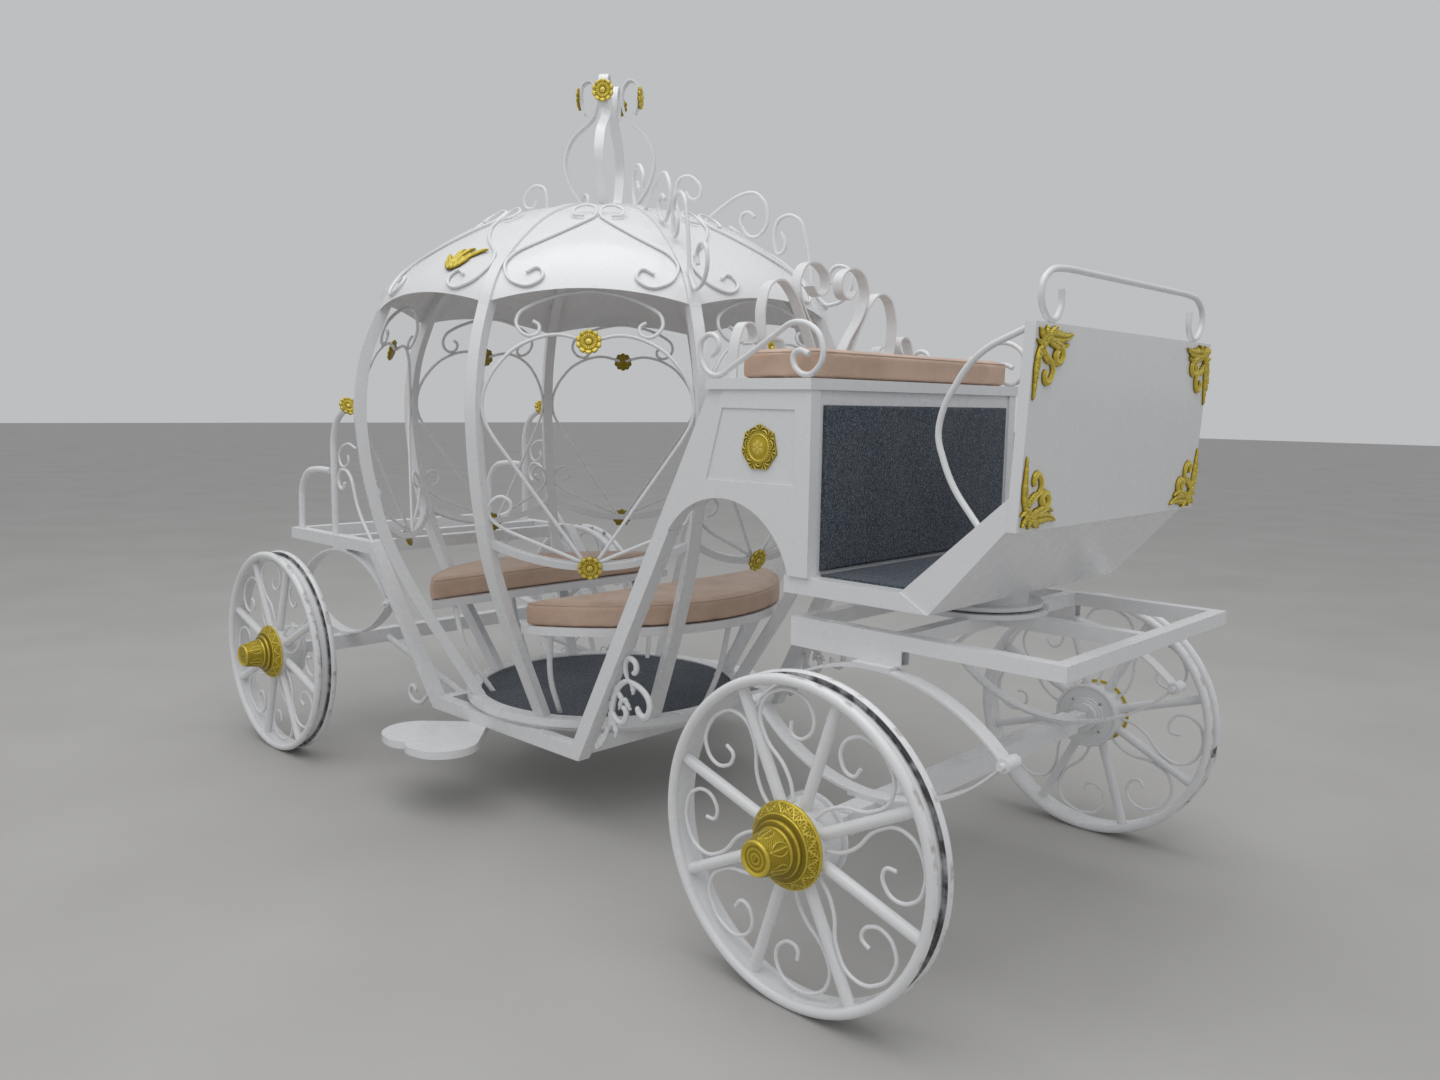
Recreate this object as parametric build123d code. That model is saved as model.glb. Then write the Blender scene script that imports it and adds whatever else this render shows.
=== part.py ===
"""Horse drawn sightseeing carriage: a domed passenger cage between two cradle frames,
a driver's box on top of a turntable, and four spoked steel wheels.

+X is forward, +Y is left, +Z is up. Lengths are millimetres. The model is laid out
from the cage's upright axis and moved at the end, so that the origin lies on the
ground under the middle of the whole carriage.
"""
import os
from functools import cache
from math import asin, cos, degrees, hypot, radians, sin, tan

from build123d import *

# Wheels, measured from the middle plane of the rim
wheel_r = 420
wheel_mid_y = 820
rim_tube_r = 14
rim_tube_spread = 31
rim_band_outer_drop = 18
rim_band_t = 8
hub_r = 100
hub_outer = 38
hub_inner = 50
flange_r = 110
flange_t = 12
boss_r = 50
boss_end = 97
spoke_count = 8
spoke_r = 15.5
spoke_phase = 27
spoke_plane = 10
scroll_rod_r = 5
seat_gap = 0.4

# Hub caps
cap_base_r = 110
cap_nose_r = 44
cap_length = 122
cap_bore_r = 42
cap_bore_depth = 60

# Axles
front_axle_x = 1665
rear_axle_x = -1165
axle_z = wheel_r
axle_size = 60
axle_beam_y = 640
stub_size = 45
stub_y = 718
spindle_r = 22
spindle_fit = 0.1
spindle_end = 900
nut_r = 36
nut_t = 22
running_gap = 5
stay_r = 15

# Leaf springs
spring_y = 515
spring_w = 50
spring_half = 394
leaf_t = 8
eye_z = 640
eye_r = 18
eye_pin_r = 9
eye_pin_l = 92
spring_pad_t = 6

# Cradle: the side frames that carry the cage
cradle_w = 50
cradle_y = spring_y + cradle_w / 2
platform_rear = -1622
platform_top = 883
platform_h = 50
floor_beam_top = 315
floor_beam_h = 49
floor_beam_rear = -421
floor_beam_front = 438
strut_top_x = 1069
strut_lean = 13
strut_run = 61
eye_clear = 6
heel_x = floor_beam_rear - strut_lean
heel_z = floor_beam_top - floor_beam_h
eye_front_x = rear_axle_x + spring_half + eye_r + eye_clear
knee_z = platform_top - platform_h
knee_x = heel_x + (eye_front_x - heel_x) * (knee_z - heel_z) / (eye_z - heel_z)
platform_front = knee_x + strut_lean

# Cage: control corners of the ribs' outer edge, as distance from the axis and height
rib_outline = [
    (52, 2224),
    (300, 2190),
    (520, 2110),
    (700, 1995),
    (830, 1880),
    (930, 1650),
    (957, 1460),
    (938, 1230),
    (880, 975),
    (770, 742),
    (531, 338),
]
rib_size = 40
rib_joints_z = (1783, 1080)
rib_count = 8
crown_r = 60
skin_depth = 8
skin_t = 4
skin_edge_z = 1785
skin_edge_rise = 46
grille_r = 6
waist_size = 24
waist_sag = 90
waist_z = 1037

# Cage floor and benches
ring_r = 556
ring_w = 56
ring_inner_r = ring_r - ring_w
ring_step = 16
ring_top = 360
floor_sheet_t = 10
carpet_t = 6
bench_r = 686
bench_z = 690
bench_t = 30
cushion_r = 700
cushion_t = 80
rear_bench_x = -305
front_bench_x = 275
bench_leg_r = 10

# How far a bar runs on before it is cut flush with what it meets
end_cut = 20

# Ornaments
rosette_r = 41
rosette_t = 8
crest_r = 7
scroll_lift = 2.2
strap_t = 6
finial_strap_w = 36
finial_curl_r = 111
finial_foot_r = 100
finial_lift = 2.1
finial_turn = 36
finial_rosette_z = 2620
step_t = 28
field_depth = 4
medallion_r = 66
medallion_t = 8
leaf_plate_t = 4
post_r = 14

# Driver's box
box_y = cradle_y + 5
box_wall = 40
seat_rim_y = box_y + 7
seat_rear_x = 1065
seat_front_x = 1456
seat_top = 1552
seat_rim_h = 31
post_front_x = 1453
box_base_z = 1015
arch_top_z = 1210
arch_front_x = 1383
dash_half_y = box_y - 13
floor_rear_x = 1365
floor_half_y = dash_half_y + 5
floor_bottom = 967
floor_front_x = 1829
foot_tip_x = 1745
riser_x = 1447
riser_t = 34
dash_bottom = (2058, 1193)
dash_top = (2082, 1676)
dash_t = 28
foot_top_z = 1273
carpet_half_y = dash_half_y - 46
driver_cushion_t = 78
seat_back_w = 38
rail_r = 8

# Turntable and front frame
turntable_r = 196
turntable_t = 14
upper_disc_r = 180
drum_r = 140
kingpin_r = 24
kingpin_fit = 0.1
frame_tube = 40
frame_top = 898
frame_half_y = spring_y - 5
frame_rear_x = 1372
frame_front_x = 2190
lower_tube_front_x = 1740
lower_tube_h = 43
middle_tube_x = 1720

# Whole object
steer_x = front_axle_x
centre_x = (platform_rear + frame_front_x) / 2


# Small helpers for shapes


def block(x0, x1, y0, y1, z0, z1):
    """Box between two corners."""
    return Pos((x0 + x1) / 2, (y0 + y1) / 2, (z0 + z1) / 2) * Box(x1 - x0, y1 - y0, z1 - z0)


def run(*points):
    """One edge: two points make a line, three make an arc."""
    return Line(*points) if len(points) == 2 else ThreePointArc(*points)


def side_plate(runs, y0, y1):
    """Plate of a side view outline; each run lists two or three (x, z) points."""
    edges = [run(*[(x, y0, z) for x, z in points]) for points in runs]
    return extrude(make_face(edges), amount=y1 - y0, dir=(0, 1, 0))


def side_bar(corners, y0, y1):
    """Straight sided plate of a side view outline of (x, z) corners."""
    loop = corners + corners[:1]
    return side_plate(list(zip(loop, loop[1:])), y0, y1)


def bends(points):
    """Bend radii: 0.45 of the shorter run over the tangent of half the turn."""
    radii = []
    for before, corner, after in zip(points, points[1:], points[2:]):
        run_in = Vector(*corner) - Vector(*before)
        run_out = Vector(*after) - Vector(*corner)
        half_turn = radians(run_in.get_angle(run_out)) / 2
        radii.append(0.45 * min(run_in.length, run_out.length) / tan(half_turn))
    return radii


def bent_line(points):
    """Straight runs joined by tangent arcs."""
    if len(points) == 2:
        return Line(*points)
    return FilletPolyline(*points, radius=bends(points))


def rod(points, radius):
    """Round bar along a bent line."""
    path = bent_line(points)
    start = Plane(origin=path @ 0, z_dir=path % 0)
    return sweep(start * Circle(radius), path=path)


def strap(points, thick, wide, across):
    """Flat bar along a bent line; across is the direction of its width."""
    path = bent_line(points)
    side = Vector(*across).cross(path % 0)
    start = Plane(origin=path @ 0, x_dir=side, z_dir=path % 0)
    return sweep(start * Rectangle(thick, wide), path=path)


def inset(points, depth):
    """Control corners moved inward (to the right of the path) by a depth."""
    moved = []
    last = len(points) - 1
    for i, (r, z) in enumerate(points):
        r0, z0 = points[max(i - 1, 0)]
        r1, z1 = points[min(i + 1, last)]
        into = Vector(r - r0, z - z0).normalized() if i > 0 else None
        out = Vector(r1 - r, z1 - z).normalized() if i < last else None
        into = into or out
        out = out or into
        normal_in = Vector(into.Y, -into.X)
        normal_out = Vector(out.Y, -out.X)
        mean = (normal_in + normal_out).normalized()
        reach = depth / mean.dot(normal_in)
        moved.append((r + mean.X * reach, z + mean.Y * reach))
    return moved


def rib_curve(depth):
    """The ribs' outer edge, or a curve parallel to it at a depth, in the XZ plane."""
    radii = bends([(r, 0, z) for r, z in rib_outline])
    corners = [(r, 0, z) for r, z in inset(rib_outline, depth)]
    return FilletPolyline(*corners, radius=[radius - depth for radius in radii])


def band_face(outer_depth, inner_depth):
    """Face between two parallel curves of the ribs' profile."""
    outer = rib_curve(outer_depth)
    inner = rib_curve(inner_depth)
    ends = [Line(outer @ 0, inner @ 0), Line(outer @ 1, inner @ 1)]
    return make_face(outer.edges() + inner.edges() + ends)


@cache
def curve_samples(depth):
    """Points along the ribs' profile at a depth, from the crown down."""
    curve = rib_curve(depth)
    count = 300
    points = [curve @ (i / count) for i in range(count + 1)]
    return [(point.X, point.Z) for point in points]


def between(value, pairs):
    """Straight line interpolation in a list of (key, result) pairs with rising keys."""
    for (k0, v0), (k1, v1) in zip(pairs, pairs[1:]):
        if k0 <= value <= k1:
            return v0 + (v1 - v0) * (value - k0) / (k1 - k0)
    return pairs[0][1]


def cage_radius(z, depth):
    """Distance from the cage's axis to the profile at a depth, at a height."""
    return between(z, [(height, r) for r, height in reversed(curve_samples(depth))])


def dome_height(r, depth):
    """Height of the dome's profile at a depth, at a distance from the axis."""
    on_dome = [(radius, z) for radius, z in curve_samples(depth) if z > skin_edge_z - 60]
    return between(r, on_dome)


def above(shape, z):
    """The part of a shape above a height."""
    return split(shape, bisect_by=Plane.XY.offset(z), keep=Keep.TOP)


def below(shape, z):
    """The part of a shape below a height."""
    return split(shape, bisect_by=Plane.XY.offset(z), keep=Keep.BOTTOM)


def both_sides(shape):
    """A shape and its mirror image across the middle plane, as a list."""
    return [shape, mirror(shape, about=Plane.XZ)]


def solids_of(items):
    """All solids of a nested list of shapes."""
    if isinstance(items, (list, tuple)):
        return [solid for item in items for solid in solids_of(item)]
    return list(items.solids())


def save(name, items):
    """Write one node, moved so that the origin is under the middle of the carriage."""
    moved = [Pos(-centre_x, 0, 0) * solid for solid in solids_of(items)]
    export_step(Compound(children=moved) if len(moved) > 1 else moved[0], f"parts/{name}.step")


# Wheels and caps, made for the right side, with outboard along -Y


def wheel():
    """Rim of two tubes and a band, hub, straight spokes and bent scroll rods."""
    ring_r_mid = wheel_r - rim_tube_r
    band_r = wheel_r - rim_band_outer_drop - rim_band_t / 2
    section = Pos(band_r, 0) * Rectangle(rim_band_t, 2 * rim_tube_spread)
    for side in (-1, 1):
        section += Pos(ring_r_mid, side * rim_tube_spread) * Circle(rim_tube_r)
    body = revolve(section, axis=Axis.Y)
    bore = spindle_r + spindle_fit
    hub_outline = [
        (bore, -hub_outer),
        (hub_r, -hub_outer),
        (hub_r, hub_inner),
        (flange_r, hub_inner),
        (flange_r, hub_inner + flange_t),
        (boss_r, hub_inner + flange_t),
        (boss_r, boss_end),
        (bore, boss_end),
    ]
    body += revolve(make_face(Polyline(*hub_outline, close=True)), axis=Axis.Y)
    spoke_in = hub_r - 8
    spoke_out = band_r
    spoke = Pos(0, 0, (spoke_in + spoke_out) / 2) * Cylinder(spoke_r, spoke_out - spoke_in)
    for i in range(spoke_count):
        angle = 90 - spoke_phase - i * 360 / spoke_count
        body += Rot(0, angle, 0) * Pos(0, -spoke_plane, 0) * spoke
    return [body] + wheel_scrolls()


def wheel_scrolls():
    """Mirrored pairs of S-shaped rods between the spokes."""
    sector = 360 / spoke_count
    touch = spoke_r + scroll_rod_r + seat_gap
    # distance from the axle and angle from the middle of the sector
    route = [
        (hub_r + 2 * seat_gap, -1),
        (146, 1),
        (196, 8),
        (246, sector / 2 - degrees(asin(touch / 246))),
        (318, sector / 2 - degrees(asin(touch / 318))),
        (366, 12),
        (382, 1),
        (366, -9),
        (326, -14),
        (286, -14),
        (258, -7),
        (268, 0),
        (300, -1),
    ]
    rods = []
    for i in range(spoke_count):
        turn = 1 if i % 2 == 0 else -1
        middle = spoke_phase - sector / 2 + i * sector
        points = []
        for r, offset in route:
            angle = radians(middle + turn * offset)
            points.append((r * cos(angle), -spoke_plane, r * sin(angle)))
        rods.append(rod(points, scroll_rod_r))
    return rods


def hub_cap():
    """Stepped cap over the end of the spindle, hollow behind."""
    outline = [
        (0, cap_bore_depth),
        (cap_bore_r, cap_bore_depth),
        (cap_bore_r, 0),
        (cap_base_r, 0),
        (cap_base_r, 5),
        (cap_base_r - 22, 26),
        (cap_base_r - 38, 31),
        (cap_base_r - 38, 38),
        (cap_base_r - 50, 44),
        (cap_base_r - 53, 47),
        (cap_nose_r, cap_length - 4),
        (cap_nose_r - 4, cap_length),
        (0, cap_length),
    ]
    points = [(r, -hub_outer - out) for r, out in outline]
    return revolve(make_face(Polyline(*points, close=True)), axis=Axis.Y)


# Axles and springs


def axle(x):
    """Square beam with stubs and round spindles, one solid."""
    body = Pos(x, 0, axle_z) * Box(axle_size, 2 * axle_beam_y, axle_size)
    body += Pos(x, 0, axle_z) * Box(stub_size, 2 * stub_y, stub_size)
    for side in (-1, 1):
        middle = side * (stub_y + spindle_end) / 2
        pin = Rot(90, 0, 0) * Cylinder(spindle_r, spindle_end - stub_y)
        body += Pos(x, middle, axle_z) * pin
        nut = Rot(90, 0, 0) * Cylinder(nut_r, nut_t)
        nut_y = wheel_mid_y + hub_outer + running_gap / 10 + nut_t / 2
        body += Pos(x, side * nut_y, axle_z) * nut
    return body


def leaf(x, centre_z, away):
    """Bowed leaf from eye to eye; away is 1 for the upper leaf and -1 for the lower."""
    left = (x - spring_half, eye_z)
    right = (x + spring_half, eye_z)
    top = (x, centre_z)
    left_in = (x - spring_half, eye_z - away * leaf_t)
    right_in = (x + spring_half, eye_z - away * leaf_t)
    top_in = (x, centre_z - away * leaf_t)
    runs = [[left, top, right], [right, right_in], [right_in, top_in, left_in], [left_in, left]]
    return side_plate(runs, spring_y - spring_w / 2, spring_y + spring_w / 2)


def spring(x, top_z):
    """Full elliptic spring between the axle and a top plane."""
    body = leaf(x, top_z - spring_pad_t, 1) + leaf(x, axle_z + axle_size / 2 + spring_pad_t, -1)
    for end in (-1, 1):
        eye = Rot(90, 0, 0) * Cylinder(eye_r, spring_w + 8)
        pin = Rot(90, 0, 0) * Cylinder(eye_pin_r, eye_pin_l)
        body += Pos(x + end * spring_half, spring_y, eye_z) * (eye + pin)
    half_pad = 60
    y0 = spring_y - spring_w / 2
    y1 = spring_y + spring_w / 2
    upper_pad = block(x - half_pad, x + half_pad, y0, y1, top_z - 2 * spring_pad_t, top_z)
    base = axle_z + axle_size / 2
    lower_pad = block(x - half_pad, x + half_pad, y0, y1, base, base + 2 * spring_pad_t)
    return body + upper_pad + lower_pad


def axle_stays():
    """Round stays from the rear axle forward to the cradle's rear cross tube."""
    start = (rear_axle_x, 326, axle_z - 8)
    end = (floor_beam_rear + end_cut, 402, floor_beam_top - floor_beam_h / 2)
    bar = split(rod([start, end], stay_r), bisect_by=Plane.YZ.offset(floor_beam_rear), keep=Keep.BOTTOM)
    axle_face = Plane.YZ.offset(rear_axle_x + axle_size / 2)
    return both_sides(split(bar, bisect_by=axle_face, keep=Keep.TOP))


# Cradle


def strut_front(z, edge):
    """X of the front strut's rear (0) or front (1) edge at a height."""
    seat_bottom = seat_top - seat_rim_h
    slope = (strut_top_x - floor_beam_front) / (seat_bottom - floor_beam_top)
    return floor_beam_front + (z - floor_beam_top) * slope + edge * strut_run


def cradle_side():
    """Platform beam, rear strut, floor beam and front strut of the left side."""
    y0 = cradle_y - cradle_w
    knee = (knee_x, knee_z)
    heel = (heel_x, heel_z)
    toe = (strut_front(heel_z, 1), heel_z)
    seat_bottom = seat_top - seat_rim_h
    platform = [
        (platform_rear, knee_z),
        (platform_rear, platform_top),
        (platform_front, platform_top),
        knee,
    ]
    rear_strut = [(platform_front, platform_top), (floor_beam_rear, floor_beam_top), heel, knee]
    floor_beam = [(floor_beam_rear, floor_beam_top), (floor_beam_front, floor_beam_top), toe, heel]
    front_strut = [
        (floor_beam_front, floor_beam_top),
        (strut_top_x, seat_bottom),
        (strut_front(seat_bottom, 1), seat_bottom),
        toe,
    ]
    bars = (platform, rear_strut, floor_beam, front_strut)
    return [side_bar(corners, y0, cradle_y) for corners in bars]


def cradle_crossbars():
    """Square tubes across the platform and under the cage floor."""
    half = cradle_y - cradle_w
    bars = []
    for x in (platform_rear, -1195, platform_front - 72):
        bars.append(block(x, x + platform_h, -half, half, knee_z, platform_top))
    for x in (floor_beam_rear, -155, 105, floor_beam_front - 50):
        bars.append(block(x, x + 50, -half, half, heel_z, floor_beam_top))
    return bars


# Cage


def ribs():
    """Eight bent square tubes, each in a dome, a side and a lower length."""
    profile = band_face(0, rib_size)
    whole = extrude(profile, amount=rib_size / 2, dir=(0, 1, 0), both=True)
    whole = split(above(whole, ring_top), bisect_by=Plane.YZ.offset(crown_r), keep=Keep.TOP)
    upper_joint, lower_joint = rib_joints_z
    lengths = [
        above(whole, upper_joint),
        below(above(whole, lower_joint), upper_joint),
        below(whole, lower_joint),
    ]
    sides = {"left": [], "right": []}
    for i in range(rib_count):
        angle = (i + 0.5) * 360 / rib_count
        side = "left" if angle < 180 else "right"
        sides[side].append([Rot(0, 0, angle) * length for length in lengths])
    return sides


def bay_wedge(gap):
    """Space between two neighbouring ribs of the bay that faces +X."""
    half = 180 / rib_count
    reach = 1200
    start = (rib_size / 2 + gap) / sin(radians(half))
    run_out = reach * sin(radians(half))
    corners = [(start, 0), (start + reach * cos(radians(half)), run_out)]
    corners.append((corners[1][0], -run_out))
    return extrude(make_face(Polyline(*corners, close=True)), amount=2400)


def dome_panel():
    """Sheet of one bay of the dome, with an arched lower edge."""
    sheet = revolve(band_face(skin_depth, skin_depth + skin_t), axis=Axis.Z, revolution_arc=50)
    sheet = above(Rot(0, 0, -25) * sheet, skin_edge_z)
    half = cage_radius(skin_edge_z, 0) * sin(radians(180 / rib_count))
    ends = [(0, -half, skin_edge_z), (0, half, skin_edge_z)]
    edges = [
        ThreePointArc(ends[0], (0, 0, skin_edge_z + skin_edge_rise), ends[1]),
        Line(ends[1], ends[0]),
    ]
    cutter = extrude(make_face(edges), amount=1200, dir=(1, 0, 0))
    return ((sheet - cutter) & bay_wedge(0)) - crown()


def crown():
    """Eight sided block that joins the ribs at the top."""
    top = rib_outline[0][1] + 4
    low = top - rib_size - 10
    across = crown_r / cos(radians(180 / rib_count))
    return Pos(0, 0, low) * extrude(RegularPolygon(across, rib_count), amount=top - low)


# Cage floor and benches


def cage_floor():
    """Stepped ring under the ribs with the floor sheet inside it."""
    ring_bottom = floor_beam_top
    sheet_top = ring_top - 10
    outline = [
        (0, sheet_top - floor_sheet_t),
        (ring_inner_r, sheet_top - floor_sheet_t),
        (ring_inner_r, ring_bottom),
        (ring_r - ring_step, ring_bottom),
        (ring_r - ring_step, ring_bottom + ring_step),
        (ring_r, ring_bottom + ring_step),
        (ring_r, ring_top),
        (ring_inner_r, ring_top),
        (ring_inner_r, sheet_top),
        (0, sheet_top),
    ]
    corners = [(r, 0, z) for r, z in outline]
    return revolve(make_face(Polyline(*corners, close=True)), axis=Axis.Z)


def cage_carpet():
    """Round carpet on the cage's floor sheet."""
    low = ring_top - 10
    return Pos(0, 0, low + carpet_t / 2) * Cylinder(ring_inner_r - seat_gap, carpet_t)


def segment_slab(radius, chord_x, low, high):
    """Slab shaped like a slice of a disc, cut off at a chord towards the axis."""
    disc = Pos(0, 0, (low + high) / 2) * Cylinder(radius, high - low)
    keep = Keep.TOP if chord_x > 0 else Keep.BOTTOM
    return split(disc, bisect_by=Plane.YZ.offset(chord_x), keep=keep)


def bench_frame(chord_x):
    """Bench board with two legs under its chord and one under its outer edge."""
    side = 1 if chord_x > 0 else -1
    carpet_top = ring_top - 10 + carpet_t
    board = segment_slab(bench_r, chord_x, bench_z, bench_z + bench_t)
    chord_top_y = 0.82 * (bench_r**2 - chord_x**2) ** 0.5
    foot_x = side * 205
    foot_y = 400
    middle_z = (bench_z + carpet_top) / 2
    parts = [board]
    for turn in (-1, 1):
        top = (chord_x + side * 25, turn * chord_top_y, bench_z + end_cut)
        middle = ((chord_x + foot_x) / 2 + side * 25, turn * (chord_top_y - 12), middle_z)
        foot = (foot_x, turn * foot_y, carpet_top - end_cut)
        leg = rod([top, middle, foot], bench_leg_r)
        parts.append(below(above(leg, carpet_top), bench_z))
    outer_top = (side * (bench_r - 22), 0, bench_z + end_cut)
    outer_middle = (side * (bench_r - 62), 0, middle_z)
    outer_foot = (side * (ring_inner_r + 24), 0, ring_top - end_cut)
    leg = rod([outer_top, outer_middle, outer_foot], bench_leg_r)
    parts.append(below(above(leg, ring_top), bench_z))
    return parts


def bench_cushion(chord_x):
    """Plain pad on a bench."""
    low = bench_z + bench_t + seat_gap
    return segment_slab(cushion_r, chord_x, low, low + cushion_t)


# Grilles of the cage


def on_bay(t, z, depth=rib_size / 2):
    """Point on the flat-across surface of the bay that faces +X."""
    distance = cage_radius(z, depth) * cos(radians(180 / rib_count))
    return (distance, t, z)


def bay_rise(low, high):
    """Upward direction along a bay between two heights."""
    return (Vector(*on_bay(0, high)) - Vector(*on_bay(0, low))).normalized()


def mirrored_route(half):
    """A route from left to right, given its right half from the middle outward."""
    left = [(-t, z) for t, z in reversed(half) if t > 0]
    return left + half


def grille():
    """Heart, arch, side scrolls and sagging waist bar of the bay that faces +X."""
    waist_ends = waist_z - waist_sag
    waist = ThreePointArc(on_bay(-345, waist_z), on_bay(0, waist_ends), on_bay(345, waist_z))
    start = Plane(origin=waist @ 0, x_dir=bay_rise(waist_ends, waist_z), z_dir=waist % 0)
    bars = sweep(start * Rectangle(waist_size, waist_size), path=waist)
    heart = [
        (14, 1671),
        (95, 1692),
        (168, 1678),
        (242, 1640),
        (299, 1572),
        (326, 1515),
        (334, 1463),
        (325, 1415),
        (298, 1366),
        (13, 950),
    ]
    side_scroll = [
        (30, 962),
        (270, 1066),
        (321, 1105),
        (322, 1152),
        (281, 1182),
        (246, 1160),
        (251, 1127),
        (282, 1115),
    ]
    for turn in (-1, 1):
        for route in (heart, side_scroll):
            bars += rod([on_bay(turn * t, z) for t, z in route], grille_r)
    arch = [
        (0, 1833),
        (100, 1817),
        (174, 1789),
        (224, 1758),
        (234, 1722),
        (214, 1692),
        (186, 1680),
        (158, 1692),
        (156, 1718),
        (178, 1730),
    ]
    bars += rod([on_bay(t, z) for t, z in mirrored_route(arch)], grille_r)
    return bars & bay_wedge(0)


def bay_rosettes():
    """Round flower plates over the top and bottom of the heart."""
    plates = []
    low = waist_z - waist_sag
    for z, reach, bar_half in ((1664, 20, grille_r), (low, waist_sag, waist_size / 2)):
        here = Vector(*on_bay(0, z))
        up = bay_rise(z, z + reach)
        out = Vector(up.Z, 0, -up.X)
        face = Plane(origin=here + out * (bar_half + seat_gap), z_dir=out)
        plates.append(extrude(face * Circle(rosette_r), amount=rosette_t))
    return plates


def turned(items, angle):
    """Shapes turned about the cage's axis."""
    return [Rot(0, 0, angle) * item for item in items]


def dome_scrolls():
    """Mirrored pairs of scroll rods that lie on each dome panel."""
    # distance aside, height, and how far the curled top stands off the panel
    route = [
        (46, 2103, 3),
        (82, 2104, 4),
        (89, 2132, 12),
        (46, 2152, 20),
        (9, 2142, 13),
        (5.5, 2104, 0),
        (46, 2074, 0),
        (140, 2014, 0),
        (250, 1956, 0),
        (282, 1914, 0),
        (260, 1856, 0),
        (192, 1832, 0),
        (138, 1866, 0),
        (162, 1906, 0),
        (202, 1882, 0),
    ]
    lift = scroll_rod_r + scroll_lift - skin_depth
    rods = []
    for i in range(rib_count):
        for turn in (-1, 1):
            points = []
            for t, z, off in route:
                radius = cage_radius(z, -lift - off)
                angle = asin(turn * t / radius)
                points.append((radius * cos(angle), radius * sin(angle), z))
            rods += turned([rod(points, scroll_rod_r)], i * 360 / rib_count)
    return rods


def crest_scrolls():
    """Hooks on the four end ribs of the dome, and a pair of scrolls on each front one."""
    # distance from the axis and height above the rib's outer edge
    hook = [
        (292, -8),
        (270, 50),
        (282, 122),
        (334, 146),
        (380, 116),
        (372, 68),
        (332, 56),
        (318, 82),
    ]
    upper = [
        (392, -8),
        (470, 78),
        (532, 142),
        (591, 184),
        (640, 165),
        (640, 90),
        (601, 26),
        (566, 9.4),
        (536, 36),
        (536, 72),
        (566, 100),
        (590, 92),
    ]
    lower = [
        (692, 104),
        (712, 84),
        (706, 46),
        (678, 10),
        (664, 70),
        (674, 132),
        (722, 190),
        (772, 204),
        (802, 120),
    ]
    # distance from the axis and height above the ground, past the rib's outer edge
    foot = [
        (868, 1834),
        (934, 1850),
        (966, 1908),
        (948, 1968),
        (900, 1978),
        (872, 1946),
        (886, 1912),
    ]
    rib = extrude(band_face(0, rib_size), amount=rib_size / 2, dir=(0, 1, 0), both=True)
    standing = []
    for route in (hook, upper, lower):
        standing.append([(r, 0, dome_height(r, 0) + height) for r, height in route])
    beside = crest_r + seat_gap
    standing[2] += [(cage_radius(z, -beside), 0, z) for z in (1896, 1858)]
    standing[2] += [(r, 0, z) for r, z in foot]
    rods = [rod(points, crest_r) - rib for points in standing]
    ends = [turned(rods[:1], azimuth) for azimuth in (157.5, -157.5)]
    return ends + [turned(rods, azimuth) for azimuth in (22.5, -22.5)]


def finial():
    """Four flat straps that bulge, meet at a neck and curl outward at the top."""
    foot_z = dome_height(finial_foot_r, 0) + finial_lift
    route = [
        (finial_foot_r, foot_z),
        (152, 2290),
        (180, 2390),
        (150, 2475),
        (62, 2545),
        (46, 2598),
        (47, 2652),
        (76, 2690),
        (finial_curl_r, 2670),
        (finial_curl_r, 2596),
        (97, 2562),
    ]
    points = [(r, 0, z) for r, z in route]
    bar = strap(points, strap_t, finial_strap_w, (0, 1, 0))
    return [Rot(0, 0, finial_turn + i * 90) * bar for i in range(4)]


def finial_rosettes():
    """Round flower plates on the curled tops of the finial's straps."""
    out_face = finial_curl_r + strap_t / 2 + seat_gap
    plate = Rot(0, 90, 0) * Cylinder(rosette_r, rosette_t)
    plate = Pos(out_face + rosette_t / 2, 0, finial_rosette_z) * plate
    return [Rot(0, 0, finial_turn + i * 90) * plate for i in range(4)]


# Steps


def step():
    """Heart shaped plate under the right floor beam, with its point inward."""
    top = heel_z
    middle = -122
    tip = (middle, -(cradle_y - cradle_w), top)
    notch = (middle, -848, top)
    edges = []
    for turn in (-1, 1):
        shoulder = (middle + turn * 176, -655, top)
        round_end = (middle + turn * 100, -868, top)
        edges.append(Line(tip, shoulder))
        edges.append(ThreePointArc(shoulder, (middle + turn * 209, -786, top), round_end))
        edges.append(ThreePointArc(round_end, (middle + turn * 46, -870, top), notch))
    return extrude(make_face(edges), amount=step_t, dir=(0, 0, -1))


# Driver's box


def box_panel():
    """Left side of the driver's box, with its arch and its recessed field."""
    seat_bottom = seat_top - seat_rim_h
    arch_rear_z = 1095
    rear_top = (strut_front(seat_bottom, 1), seat_bottom)
    arch_rear = (strut_front(arch_rear_z, 1), arch_rear_z)
    arch_middle = (1132, arch_top_z)
    arch_front = (arch_front_x, box_base_z)
    runs = [
        [rear_top, arch_rear],
        [arch_rear, arch_middle, arch_front],
        [arch_front, (post_front_x, box_base_z)],
        [(post_front_x, box_base_z), (post_front_x, seat_bottom)],
        [(post_front_x, seat_bottom), rear_top],
    ]
    panel = side_plate(runs, box_y - box_wall, box_y)
    field = [(1127, 1469), (1396, 1467), (1399, 1263), (1067, 1262)]
    return panel - side_bar(field, box_y - field_depth, box_y + 1)


def medallion():
    """Eight sided plate in the middle of the left side's recessed field."""
    plate = extrude(RegularPolygon(medallion_r, 8), amount=medallion_t)
    return Pos(1271, box_y - field_depth, 1361) * Rot(-90, 0, 22.5) * plate


def seat_tray():
    """Board under the driver's cushion."""
    return block(seat_rear_x, seat_front_x, -seat_rim_y, seat_rim_y, seat_top - seat_rim_h, seat_top)


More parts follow.
